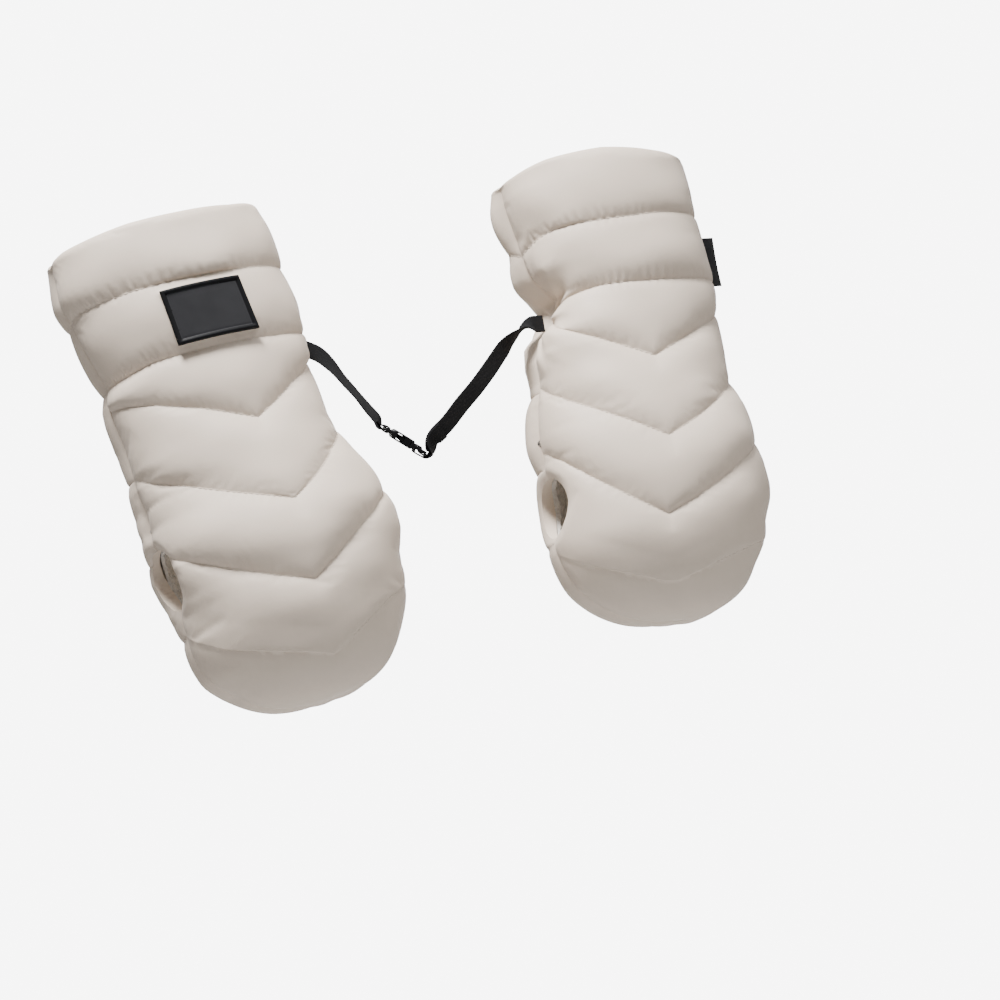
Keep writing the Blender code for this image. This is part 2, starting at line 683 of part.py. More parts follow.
def prong_hinge(side):
    """Where a prong bends: the middle of its root at the plug's block."""
    outer = BUCKLE_WIDTH / 2 - SLEEVE_SIDE_WALL - PRONG_INSET
    return Vector((FEMALE_LENGTH + GAP / 2, side * (outer - PRONG_ARM / 2), 0.0))


def build_prong(name, side, frame):
    """A springy side arm with the barb that fills the receptacle's window."""
    hinge = prong_hinge(side)
    hinge_frame = empty(f"{name}_hinge", Matrix.Translation(hinge), frame)
    root = FEMALE_LENGTH
    outer = BUCKLE_WIDTH / 2 - SLEEVE_SIDE_WALL - PRONG_INSET
    inner = outer - PRONG_ARM
    barb = FEMALE_LENGTH - WINDOW_FROM_MOUTH - GAP
    tip = PRONG_TIP
    reach = outer + PRONG_INSET + BARB_REACH
    slope = (barb - tip) * PRONG_SLOPE_SHARE
    outline = ((root, inner), (tip + slope, inner), (tip, inner + PRONG_ARM / 2), (tip, outer),
               (tip + slope, reach - BARB_REACH / 2), (barb - slope, reach), (barb, reach), (barb, outer), (root, outer))
    bm = bmesh.new()
    add_prism(bm, [(u, v * side) for u, v in outline], PRONG_THICKNESS, plan_view)
    make_object(name, moved(bm, -hinge), BLACK_PLASTIC, hinge_frame)


# Strap

def smooth_route(points, facing):
    """A centripetal curve through the points, with the way that the band's width faces."""
    fine, turns = [points[0]], [facing[0]]
    for k in range(len(points) - 1):
        p0 = points[k - 1] if k else points[0] * 2 - points[1]
        p1, p2 = points[k], points[k + 1]
        p3 = points[k + 2] if k + 2 < len(points) else p2 * 2 - p1
        knots = [0.0]
        for a, b in ((p0, p1), (p1, p2), (p2, p3)):
            knots.append(knots[-1] + max((b - a).length, WELD) ** 0.5)
        t0, t1, t2, t3 = knots
        for step in range(1, ROUTE_STEPS + 1):
            share = step / ROUTE_STEPS
            t = t1 + (t2 - t1) * share
            a1 = p0.lerp(p1, (t - t0) / (t1 - t0))
            a2 = p1.lerp(p2, (t - t1) / (t2 - t1))
            a3 = p2.lerp(p3, (t - t2) / (t3 - t2))
            b1 = a1.lerp(a2, (t - t0) / (t2 - t0))
            b2 = a2.lerp(a3, (t - t1) / (t3 - t1))
            fine.append(b1.lerp(b2, (t - t1) / (t2 - t1)))
            turns.append(facing[k].lerp(facing[k + 1], share))
    return fine, turns


def ribbon(name, points, facing):
    """Flat webbing along a smooth route."""
    route, turns = smooth_route(points, facing)
    bm = bmesh.new()
    rings = []
    for k, point in enumerate(route):
        ahead = route[min(k + 1, len(route) - 1)] - route[max(k - 1, 0)]
        ahead.normalize()
        wide = (turns[k] - ahead * turns[k].dot(ahead)).normalized()
        thick = ahead.cross(wide)
        half_wide, half_thick = wide * WEBBING_WIDTH / 2, thick * WEBBING_THICKNESS / 2
        corners = (half_wide + half_thick, -half_wide + half_thick, -half_wide - half_thick, half_wide - half_thick)
        rings.append([bm.verts.new(point + corner) for corner in corners])
    for a, b in zip(rings, rings[1:]):
        for i in range(4):
            bm.faces.new((a[i], a[(i + 1) % 4], b[(i + 1) % 4], b[i]))
    bm.faces.new(rings[0])
    bm.faces.new(rings[-1][::-1])
    length = sum((b - a).length for a, b in zip(route, route[1:]))
    print(f"{name}: {length * 1000:.0f} mm of webbing")
    return make_object(name, bm, BLACK_WEBBING, None)


def seam_start(muff):
    """The strap's sewn-in end and its first free point, straight out of the side seam."""
    seam = muff.seam_point(muff.strap_side, muff.strap_height)
    inward = Vector((-muff.strap_side, 0.0, 0.0))
    inside = muff.matrix @ (seam + inward * WEBBING_SEWN_IN)
    outside = muff.matrix @ (seam - inward * STRAP_LEAD)
    upright = muff.matrix.to_3x3() @ Vector((0.0, 0.0, 1.0))
    return [inside, muff.matrix @ seam, outside], [upright] * 3


def loop_radius():
    """From a crossbar's middle to the middle of the webbing that goes round it."""
    return FRAME_THICKNESS / 2 + 2 * GAP + WEBBING_THICKNESS / 2


def webbing_layer():
    """Between the middles of two layers of webbing that lie on each other."""
    return WEBBING_THICKNESS + WEBBING_LAYER_GAP


def build_left_strap(muff, matrix):
    """Sewn into the left muff, looped round the receptacle's crossbar and sewn back on itself."""
    points, facing = seam_start(muff)
    points += [Vector(point) for point in LEFT_ROUTE]
    facing += [Vector(turn) for turn in LEFT_FACING]
    radius, layer = loop_radius(), webbing_layer()
    local = [(CROSSBAR / 2 + radius * along, radius * through + layer * beneath)
             for along, through, beneath in LEFT_LOOP_SHARES]
    points += [matrix @ Vector((x, 0.0, z)) for x, z in local]
    facing += [matrix.to_3x3() @ Vector((0.0, 1.0, 0.0))] * len(local)
    return ribbon("strap_left", points, facing)


def build_right_strap(muff, matrix):
    """Sewn into the right muff and laced through the plug's ladder, with its free end along the strap."""
    points, facing = seam_start(muff)
    points += [Vector(point) for point in RIGHT_ROUTE]
    facing += [Vector(turn) for turn in RIGHT_FACING]
    radius, layer = loop_radius(), webbing_layer()
    first, second = male_slots()
    middle = second - CROSSBAR / 2
    end = second + WEBBING_SLOT + CROSSBAR / 2
    local = [
        (bar + radius * along + layer * out, radius * through + layer * beneath)
        for bar, shares in ((end, END_BAR_IN_SHARES), (middle, MIDDLE_BAR_SHARES), (end, END_BAR_OUT_SHARES))
        for along, through, out, beneath in shares
    ]
    points += [matrix @ Vector((x, 0.0, z)) for x, z in local]
    facing += [matrix.to_3x3() @ Vector((0.0, 1.0, 0.0))] * len(local)
    tail_points, tail_facing = tail_beside(points, facing, layer)
    return ribbon("strap_right", points + tail_points, facing + tail_facing)


def tail_beside(points, facing, layer):
    """The strap's free end, which follows the loaded run on its outer side."""
    lead = 3
    run = range(lead + len(RIGHT_ROUTE) - 1, lead + len(RIGHT_ROUTE) - 3, -1)
    tail_points, tail_facing = [], []
    for k in run:
        ahead = (points[k - 1] - points[k + 1]).normalized()
        wide = (facing[k] - ahead * facing[k].dot(ahead)).normalized()
        outward = wide.cross(ahead)
        if outward.z > 0:
            outward = -outward
        tail_points.append(points[k] + outward * layer)
        tail_facing.append(facing[k].copy())
    tail_points[1] = tail_points[0].lerp(tail_points[1], TAIL_SHARE)
    tail_facing[1] = tail_facing[0].lerp(tail_facing[1], TAIL_SHARE)
    return tail_points, tail_facing


clear_scene()
PARTS = make_collection("stroller_hand_muff")
CUTTERS = make_collection("cutters")

left, right = Muff("left"), Muff("right")
for each in (left, right):
    build_muff(each)
build_patch(left)
build_label(right)

buckle_place = buckle_matrix()
buckle_frame = empty("buckle_frame", buckle_place)
build_female(buckle_frame)
build_male(buckle_frame)
build_prong("prong_upper", 1, buckle_frame)
build_prong("prong_lower", -1, buckle_frame)
build_left_strap(left, buckle_place)
build_right_strap(right, buckle_place)
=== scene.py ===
"""Looks of the stroller hand muffs: quilted shells, fleece, webbing, buckle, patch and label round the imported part."""

import json
import math

import bmesh
import bpy
import numpy as np
from mathutils import Matrix, Vector

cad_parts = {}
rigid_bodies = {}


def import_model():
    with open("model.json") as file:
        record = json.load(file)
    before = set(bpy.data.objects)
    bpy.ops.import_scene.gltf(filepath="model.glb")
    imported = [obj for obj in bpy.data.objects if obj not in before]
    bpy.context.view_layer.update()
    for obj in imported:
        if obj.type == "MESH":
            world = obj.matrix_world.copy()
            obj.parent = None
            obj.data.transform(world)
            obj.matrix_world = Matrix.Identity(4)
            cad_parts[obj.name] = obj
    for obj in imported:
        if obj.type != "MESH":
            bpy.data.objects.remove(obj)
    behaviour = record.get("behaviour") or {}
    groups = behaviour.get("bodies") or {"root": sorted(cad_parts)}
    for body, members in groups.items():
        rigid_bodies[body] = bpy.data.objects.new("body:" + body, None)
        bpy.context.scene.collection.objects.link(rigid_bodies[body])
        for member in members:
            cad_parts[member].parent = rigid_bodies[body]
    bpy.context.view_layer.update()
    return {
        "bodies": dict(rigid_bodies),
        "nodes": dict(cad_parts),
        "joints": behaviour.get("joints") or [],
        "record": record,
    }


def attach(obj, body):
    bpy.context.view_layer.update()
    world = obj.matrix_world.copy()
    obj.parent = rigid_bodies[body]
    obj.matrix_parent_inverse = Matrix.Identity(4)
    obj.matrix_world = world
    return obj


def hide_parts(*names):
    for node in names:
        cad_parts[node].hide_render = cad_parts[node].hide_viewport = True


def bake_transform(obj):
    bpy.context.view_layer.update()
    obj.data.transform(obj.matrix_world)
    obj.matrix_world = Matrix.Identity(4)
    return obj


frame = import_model()
NODES = frame["nodes"]

# Sizes repeated from the part's source, in metres
MUFF_SPACING = 0.287
MUFF_LEAN = math.radians(5.0)
GAP = 0.0003
MUFF_LENGTH = 0.336
BAR_HEIGHT = 0.100
BULB_HEIGHT, BULB_ROUNDNESS = 0.108, 2.4
STOPS = ((0.108, 0.164, 0.126), (0.203, 0.134, 0.104), (0.300, 0.142, 0.110), (0.336, 0.138, 0.106))
CUFF_LINE, PATCH_LINE, HINGE_LINE = 0.289, 0.240, 0.1775
WALL, LINING, LINING_GAP, FACING = 0.009, 0.0030, 0.0004, 0.0015
BAR_HOLE = 0.021
STRAP_HEIGHTS = {"left": 0.2385, "right": 0.2285}
STRAP_LEAD = 0.003
SEAM_DRAW_HEIGHT, SEAM_DRAW_SHARE = 0.030, 0.22
FRONT, BACK = -1, 1

# How the cloth departs from the plain form: by height in mm, sideways sway, extra half width and seam draw
SWAY = {
    "left": ((0, 2), (30, 1.2), (60, 0.8), (90, 3.5), (110, 3.2), (140, 1.5), (160, -1.2), (180, -3.3), (220, -3.0),
             (240, -1.0), (270, -3), (300, -4.2), (336, -5.5)),
    "right": ((0, 6), (30, 3.5), (60, 3.5), (90, 5), (120, 4.5), (150, 3.8), (170, 3), (190, 5), (210, 6), (230, 8),
              (250, 8), (270, 6.9), (290, 6.4), (305, 5), (320, 3.2), (336, 2.4)),
}
FULLER = {
    "left": ((0, 0), (90, 0), (100, 1.5), (120, 2.5), (140, 1.0), (200, 1.0), (250, 1), (300, 3), (336, 4)),
    "right": ((0, -1), (50, 0), (130, 0), (150, 1.0), (200, 1.5), (230, 0), (300, 0), (336, 1.0)),
}
# How far the outline lies out (or in) on each side, by height in mm, and how the rim rises, by share across
EDGES = {
    "left": {-1: ((0, 5), (20, 4.8), (35, 7.5), (50, 4.5), (65, 0.5), (80, -1.5), (95, 0.3), (110, 4), (125, 1.6),
                  (140, -0.5), (155, -0.6), (170, 3.4), (185, 4), (200, 4.4), (215, 5.6), (230, 6.6), (245, 3.8),
                  (260, 4.2), (275, 5.6), (290, 6.2), (305, 7.6), (322, 6), (336, 5)),
             1: ((0, 1), (20, -0.6), (35, 1), (50, 2.2), (65, 1.7), (80, -0.8), (95, 4), (110, 4.8), (125, 2.6),
                 (140, 1.4), (155, 0.5), (170, 2.4), (185, 1.6), (200, 2.1), (215, 2.8), (230, 4), (245, 5.2),
                 (270, 3.4), (305, 2.4), (320, 4.2), (336, 2.4))},
    "right": {-1: ((0, 5), (20, 7), (35, 8), (50, 7), (65, 6), (95, 1), (125, 0), (140, 2), (155, 2.5), (170, 3),
                   (185, 4), (200, 8.5), (215, 8), (230, -2), (243, -10), (252, -6), (262, -1), (275, 0), (290, 0),
                   (305, 1), (320, 2), (336, 2)),
              1: ((0, -4.4), (20, -2.6), (35, -2.6), (50, 0.8), (65, -0.8), (80, 1.6), (95, 1.7), (110, 2.4),
                  (125, 1.3), (140, 0.6), (155, 0.1), (170, 1.7), (185, 1), (200, 1.2), (215, 3.3), (230, 1.9),
                  (245, 4.5), (260, -0.4), (275, -2.6), (290, -0.2), (305, -2.4), (320, 1.1), (336, 3.2))},
}
BACK_EDGES = {
    "left": ((0, 0), (110, 0), (150, 2), (200, 1), (260, 0), (336, 0)),
    "right": ((0, 0), (125, 0), (140, 2.6), (155, 2.7), (170, 3.2), (185, 0), (200, 0), (240, 0), (252, 3), (262, 5.5),
              (275, 3.5), (290, 3.8), (305, 6), (320, 4.5), (336, 2.5)),
}
RIM_RISE = {
    "left": ((-1, -1.5), (-0.92, 0.4), (-0.8, 1.4), (-0.6, 1.5), (-0.3, 2.3), (0, 1), (0.4, 0.6), (0.7, 3.2), (0.9, 6),
             (1, 6)),
    "right": ((-1, -3), (-0.8, -1.5), (-0.5, 3), (-0.1, 5.5), (0.3, 3.5), (0.7, 3.8), (0.9, 5.5), (1, 5)),
}
TIP_LIFT = {"left": -0.0010, "right": 0.0036}
SEAM_DRAWS, PLAIN_SEAM_DRAWS = {"left": 0.004, "right": 0.010}, {"left": 0.003, "right": 0.008}
TIP_HEIGHT = 0.006
SMOOTHING = (-0.010, -0.005, 0, 0.005, 0.010)
FLAP_LINES = (0.122, 0.0665)

# Quilting lines of the fronts: share across, from -1 at one seam to 1 at the other, and height in mm
LINES = {
    "left": (
        ((-1, 291.5), (-.77, 292.9), (-.56, 292.7), (-.39, 292.5), (-.26, 291.6), (0, 289.8), (.24, 289.1),
         (.65, 290.2), (1, 291)),
        ((-1, 240.1), (-.68, 241.6), (-.48, 243.4), (-.28, 242.5), (-.07, 241.3), (.16, 240.8), (.35, 240.3),
         (.87, 242.5), (1, 243)),
        ((-1, 226.5), (-.76, 223.0), (-.53, 215.8), (-.26, 203.7), (-.06, 192.7), (.05, 187.5), (.21, 195.8),
         (.38, 205.8), (.7, 219.5), (1, 228)),
        ((-1, 177), (-.88, 174), (-.54, 158.1), (-.24, 140.5), (.01, 127), (.16, 136.8), (.45, 156), (.75, 170),
         (1, 178)),
        ((-1, 127), (-.83, 120.2), (-.65, 110), (-.42, 93.5), (-.22, 81.5), (-.02, 72.0), (.12, 82), (.30, 96.5),
         (.55, 113), (.8, 124), (1, 131)),
        ((-1, 66), (-.89, 62.5), (-.64, 49.5), (-.37, 37), (-.02, 24.6), (.19, 35), (.45, 49), (.94, 64.9), (1, 66)),
    ),
    "right": (
        ((-1, 278.5), (-.87, 281.2), (-.72, 284.5), (-.58, 286.7), (-.44, 287.4), (-.24, 287), (-.01, 287.9),
         (.21, 290.2), (.60, 293.5), (1, 295)),
        ((-1, 233), (-.82, 235.8), (-.67, 238.4), (-.51, 240), (-.37, 240.6), (-.21, 240.2), (-.01, 239.8),
         (.23, 240.6), (.68, 244.6), (1, 246)),
        ((-1, 228), (-.85, 223.8), (-.61, 214.2), (-.39, 203), (-.19, 191.7), (-.04, 184.0), (.14, 193.5), (.35, 203.8),
         (.74, 219.4), (1, 226)),
        ((-1, 181), (-.71, 166.5), (-.50, 153.6), (-.28, 139.0), (-.08, 124.0), (.13, 135.9), (.28, 145.9),
         (.48, 157.5), (.75, 169), (1, 178)),
        ((-1, 133), (-.92, 130.0), (-.76, 120.5), (-.63, 109.7), (-.46, 93.5), (-.30, 79), (-.16, 67.2), (.02, 77.0),
         (.18, 88.0), (.38, 102.6), (.62, 117), (1, 131)),
        ((-1, 58), (-.62, 39.5), (-.26, 23.0), (-.17, 22.0), (.07, 29.2), (.32, 38), (.66, 49), (1, 58)),
    ),
}

# The strap's free routes: points, and the way that the webbing's width faces at each. They follow the part's source,
# but the webbing lies closer round its bars, so the ends of the right one differ.
ROUTES = {
    "left": (
        ((-0.0745, 0.0, 0.1372), (-0.0672, 0.0, 0.1283), (-0.0604, 0.0, 0.1157), (-0.0536, 0.0, 0.1037),
         (-0.0479, 0.0, 0.0925), (-0.0440, 0.0, 0.0850)),
        ((-0.05, 0.10, 1.00), (0.00, 0.22, 0.97), (0.10, 0.40, 0.90), (0.30, 0.55, 0.78), (0.58, 0.55, 0.58),
         (0.76, 0.54, 0.36)),
    ),
    "right": (
        ((0.0863, 0.0, 0.1322), (0.0802, -0.001, 0.1292), (0.0702, -0.002, 0.1238), (0.0621, -0.003, 0.1180),
         (0.0487, -0.004, 0.1063), (0.0334, -0.005, 0.0938), (0.0190, -0.005, 0.0832), (0.0045, -0.005, 0.0717),
         (-0.0095, -0.005, 0.0624)),
        ((0.25, 0.72, 0.62), (0.44, 0.90, 0.02), (0.60, 0.70, -0.36), (0.74, 0.38, -0.57), (0.74, 0.285, -0.61),
         (0.74, 0.30, -0.60), (0.76, 0.31, -0.57), (0.82, 0.32, -0.46), (0.86, 0.40, -0.33)),
    ),
}
LEFT_LOOP_SHARES = (
    (-2.1, 0.0, -0.53), (-1.35, -0.06, -0.50), (-0.90, -0.46, -0.15), (-0.30, -0.80, 0.0), (0.60, -0.74, 0.0),
    (0.76, 0.0, 0.0), (0.60, 0.74, 0.0), (-0.30, 0.80, 0.0), (-0.90, 0.46, 0.15), (-1.35, 0.06, 0.50),
    (-2.1, 0.0, 0.56), (-2.9, 0.10, 0.56), (-3.7, 0.36, 0.5),
)
END_BAR_IN_SHARES = (
    (1.75, 1.1, 0.0, 0.0), (1.38, -0.05, 0.0, 0.0), (0.80, -0.72, 0.0, 0.0), (0.0, -0.80, 0.0, 0.0),
    (-0.62, -0.72, 0.0, 0.0),
)
MIDDLE_BAR_SHARES = (
    (0.84, -0.35, 0.0, 0.0), (0.80, 0.25, 0.0, 0.0), (0.60, 0.74, 0.0, 0.0), (0.0, 0.80, 0.0, 0.0),
    (-0.60, 0.74, 0.0, 0.0), (-0.78, 0.0, 0.0, 0.0), (-0.80, -0.80, 0.0, 0.0), (-0.40, -1.42, 0.0, 0.0),
    (0.3, -0.82, 0.0, -1.05),
)
END_BAR_OUT_SHARES = ((0.0, -0.80, 0.0, -0.93), (0.85, -0.74, 0.0, -0.95), (1.42, -0.1, 0.75, -0.65),
                      (1.80, 1.05, 0.95, 0.0))
WEBBING_WIDTH, WEBBING_THICKNESS, WEBBING_LAYER_GAP, WEBBING_SEWN_IN = 0.0125, 0.0011, 0.0004, 0.005
BUCKLE_CENTRE = (-0.0278, 0.0, 0.0663)
BUCKLE_SLOPE, BUCKLE_ROLL = math.radians(42.0), math.radians(24.6)
FRAME_THICKNESS = 0.0024
CROSSBAR, WEBBING_SLOT, FEMALE_LENGTH, MALE_BLOCK = 0.0022, 0.0028, 0.0200, 0.0028
TAIL_SHARE = 0.62
ROUTE_STEPS = 6

BEHIND_THE_OBJECT = (0.4210, 0.8901, 0.1749)


# Camera, floor and light

def set_camera():
    azimuth, elevation, roll = (math.radians(a) for a in (-25.31, -10.07, -15.26))
    distance, focal, aside, above = 2.2336, 116.35, 0.0240, 0.0172
    level = Vector((math.cos(azimuth), math.sin(azimuth), 0))
    back = Vector((math.sin(azimuth) * math.cos(elevation), -math.cos(azimuth) * math.cos(elevation),
                   math.sin(elevation)))
    up = back.cross(level)
    right = level * math.cos(roll) + up * math.sin(roll)
    high = -level * math.sin(roll) + up * math.cos(roll)
    data = bpy.data.cameras.new("camera")
    data.lens, data.sensor_width = focal, 36
    data.clip_start, data.clip_end = 0.05, 50
    camera = bpy.data.objects.new("camera", data)
    place = Matrix((right, high, back)).transposed().to_4x4()
    place.translation = back * distance + right * aside + high * above
    camera.matrix_world = place
    bpy.context.scene.collection.objects.link(camera)
    bpy.context.scene.camera = camera


def node(tree, kind, **values):
    made = tree.nodes.new(kind)
    for name, value in values.items():
        if hasattr(made, name):
            setattr(made, name, value)
        else:
            made.inputs[name.replace("_", " ")].default_value = value
    return made


def halved(tree, value):
    """Brings -1..1 to 0..1."""
    made = node(tree, "ShaderNodeMath", operation="MULTIPLY_ADD")
    made.inputs[1].default_value = made.inputs[2].default_value = 0.5
    tree.links.new(value, made.inputs[0])
    return made.outputs[0]


def grey_ramp(tree, value, dark, light):
    """A grey between two pairs of place and tone."""
    made = node(tree, "ShaderNodeValToRGB")
    for stop, (place, tone) in zip(made.color_ramp.elements, (dark, light)):
        stop.position, stop.color = place, (tone, tone, tone, 1)
    tree.links.new(value, made.inputs[0])
    return made.outputs[0]


def set_stage():
    """A pale floor and backdrop, soft light from above and the left, and a bright patch of world behind the object."""
    world = bpy.data.worlds.new("studio")
    bpy.context.scene.world = world
    world.use_nodes = True
    tree = world.node_tree
    link = tree.links.new
    toward = node(tree, "ShaderNodeTexCoord").outputs["Generated"]
    split = node(tree, "ShaderNodeSeparateXYZ")
    link(toward, split.inputs[0])
    sky = grey_ramp(tree, halved(tree, split.outputs["Z"]), (0.45, 0.035), (0.92, 1.0))
    behind = node(tree, "ShaderNodeVectorMath", operation="DOT_PRODUCT")
    behind.inputs[1].default_value = BEHIND_THE_OBJECT
    link(toward, behind.inputs[0])
    boost = node(tree, "ShaderNodeVectorMath", operation="SCALE", Scale=9.0)
    link(grey_ramp(tree, behind.outputs["Value"], (0.93, 0.0), (0.972, 1.0)), boost.inputs[0])
    lit = node(tree, "ShaderNodeMix", data_type="RGBA", blend_type="ADD", clamp_result=False)
    lit.inputs[0].default_value = 1.0
    link(sky, lit.inputs[6])
    link(boost.outputs[0], lit.inputs[7])
    backdrop = node(tree, "ShaderNodeMix", data_type="RGBA")
    link(node(tree, "ShaderNodeLightPath").outputs["Is Camera Ray"], backdrop.inputs[0])
    link(lit.outputs[2], backdrop.inputs[6])
    backdrop.inputs[7].default_value = (10.0, 10.0, 10.0, 1)
    shade = tree.nodes["Background"]
    link(backdrop.outputs[2], shade.inputs["Color"])
    shade.inputs["Strength"].default_value = 0.75
    bpy.ops.mesh.primitive_circle_add(vertices=96, radius=2.2, fill_type="NGON", location=(0, 0.6, -1.0))
    floor = bpy.context.object
    floor.name = "floor"
    paint = bpy.data.materials.new("floor_paint")
    paint.use_nodes = True
    shader = paint.node_tree.nodes["Principled BSDF"]
    shader.inputs["Base Color"].default_value = (0.50, 0.50, 0.50, 1)
    shader.inputs["Roughness"].default_value = 0.9
    floor.data.materials.append(paint)
    for name, place, size, power in (("key", (-0.55, -1.0, 2.35), 0.8, 200), ("fill", (1.35, -1.25, 1.80), 1.6, 22)):
        data = bpy.data.lights.new(name, "AREA")
        data.shape, data.size, data.energy = "DISK", size, power
        light = bpy.data.objects.new(name, data)
        light.location = place
        light.rotation_euler = (Vector((0, 0, 0.08)) - Vector(place)).to_track_quat("-Z", "Y").to_euler()
        bpy.context.scene.collection.objects.link(light)


set_camera()
set_stage()


# Materials

class Paint:
    """A procedural material: its shader and the nodes that feed it."""

    def __init__(self, name, colour, roughness, metallic=0.0, sheen=0.0, specular=0.5):
        self.made = bpy.data.materials.new(name)
        self.made.use_nodes = True
        self.made.diffuse_color = (*colour, 1.0)
        self.tree = self.made.node_tree
        self.link = self.tree.links.new
        self.sockets = self.tree.nodes["Principled BSDF"].inputs
        for socket, value in (("Base Color", (*colour, 1.0)), ("Roughness", roughness), ("Metallic", metallic),
                              ("Sheen Weight", sheen), ("Sheen Roughness", 0.4), ("Specular IOR Level", specular)):
            self.sockets[socket].default_value = value
        self.normal = None

    def noise(self, scale, detail=3.0, squash=None):
        place = node(self.tree, "ShaderNodeTexCoord").outputs["Object"]
        if squash:
            mapping = node(self.tree, "ShaderNodeMapping", Scale=squash)
            self.link(place, mapping.inputs["Vector"])
            place = mapping.outputs[0]
        made = node(self.tree, "ShaderNodeTexNoise", Scale=scale, Detail=detail)
        self.link(place, made.inputs["Vector"])
        return made.outputs["Fac"]

    def weave(self, across, along):
        """Crossing threads from the UV map, which holds metres across and along the cloth."""
        split = node(self.tree, "ShaderNodeSeparateXYZ")
        self.link(node(self.tree, "ShaderNodeUVMap", uv_map="cloth").outputs[0], split.inputs[0])
        product = node(self.tree, "ShaderNodeMath", operation="MULTIPLY")
        for k, (axis, pitch) in enumerate((("X", across), ("Y", along))):
            turn = node(self.tree, "ShaderNodeMath", operation="MULTIPLY")
            turn.inputs[1].default_value = 2 * math.pi / pitch
            wave = node(self.tree, "ShaderNodeMath", operation="SINE")
            self.link(split.outputs[axis], turn.inputs[0])
            self.link(turn.outputs[0], wave.inputs[0])
            self.link(wave.outputs[0], product.inputs[k])
        return halved(self.tree, product.outputs[0])

    def mix(self, factor, a, b, kind="RGBA", blend="MIX"):
        first, second, out = {"RGBA": (6, 7, 2), "FLOAT": (2, 3, 0)}[kind]
        made = node(self.tree, "ShaderNodeMix", data_type=kind, blend_type=blend)
        for socket, value in ((0, factor), (first, a), (second, b)):
            if isinstance(value, bpy.types.NodeSocket):
                self.link(value, made.inputs[socket])
            else:
                made.inputs[socket].default_value = value if socket < 6 else (*value, 1.0)
        return made.outputs[out]

    def vary(self, socket, factor, a, b):
        """Lets the colour or the roughness vary between two values."""
        self.link(self.mix(factor, a, b, "FLOAT" if socket == "Roughness" else "RGBA"), self.sockets[socket])

    def bump(self, height, strength, distance):
        """Relief on top of the relief that is there."""
        made = node(self.tree, "ShaderNodeBump", Strength=strength, Distance=distance)
        self.link(height, made.inputs["Height"])
        if self.normal:
            self.link(self.normal, made.inputs["Normal"])
        self.normal = made.outputs[0]
        self.link(self.normal, self.sockets["Normal"])


def shaded(tone, share):
    return tuple(t * share for t in tone)


def shell_cloth(light, dark):
    """Tightly woven, faintly satin shell cloth with a soft cloudiness."""
    paint = Paint("shell_cloth", light, 0.58, sheen=0.06)
    patches, threads = paint.noise(14.0, 4.0), paint.weave(0.00050, 0.00042)
    cloudy, fine = paint.mix(patches, dark, light), paint.mix(threads, shaded(light, 0.93), light)
    paint.link(paint.mix(0.30, cloudy, fine, blend="MULTIPLY"), paint.sockets["Base Color"])
    paint.vary("Roughness", patches, 0.64, 0.52)
    paint.bump(paint.noise(120.0, 4.0), 0.18, 0.0008)
    paint.bump(threads, 0.30, 0.00010)
    return paint.made


def fleece_pile():
    paint = Paint("fleece_pile", (0.78, 0.73, 0.66), 0.95, sheen=0.5)
    clumps = paint.noise(110.0)
    paint.vary("Base Color", clumps, (0.58, 0.53, 0.47), (0.84, 0.79, 0.72))
    paint.bump(clumps, 0.8, 0.0020)
    paint.bump(paint.noise(420.0, 5.0), 0.9, 0.0012)
    return paint.made


def black_weave(name, tone, roughness, sheen, specular, pitches, deep, high, patchiness, worn, relief):
    paint = Paint(name, tone, roughness, sheen=sheen, specular=specular)
    threads, patches = paint.weave(*pitches), paint.noise(patchiness)
    paint.vary("Base Color", patches, paint.mix(threads, deep, high), tone)
    if worn:
        paint.bump(patches, *worn)
    paint.bump(threads, *relief)
    return paint.made


def moulded(name, tone, tones, roughness, specular, patchiness, grain, relief):
    """Plastic or rubber with a fine grain and a faint cloudiness."""
    base, *rough = roughness
    paint = Paint(name, tone, base, specular=specular)
    patches = paint.noise(patchiness, 4.0)
    paint.vary("Base Color", patches, *tones)
    paint.vary("Roughness", patches, *rough)
    paint.bump(paint.noise(*grain), *relief)
    return paint.made


def rubber(name, tone, specular):
    return moulded(name, tone, (shaded(tone, 0.85), shaded(tone, 1.15)), (0.6, 0.42, 0.6), specular, 70.0,
                   (900.0, 3.0), (0.25, 0.00012))


def snap_metal():
    paint = Paint("snap_nickel", (0.55, 0.53, 0.50), 0.3, metallic=1.0)
    brushed = paint.noise(900.0, squash=(1.0, 1.0, 12.0))
    paint.vary("Base Color", brushed, (0.42, 0.40, 0.38), (0.62, 0.60, 0.57))
    paint.vary("Roughness", brushed, 0.22, 0.42)
    paint.bump(brushed, 0.12, 0.00005)
    return paint.made


def sewing_thread(light, dark):
    paint = Paint("shell_thread", light, 0.6, sheen=0.4)
    twist = paint.noise(1800.0, 2.0)
    paint.vary("Base Color", twist, dark, light)
    paint.bump(twist, 0.5, 0.0001)
    return paint.made


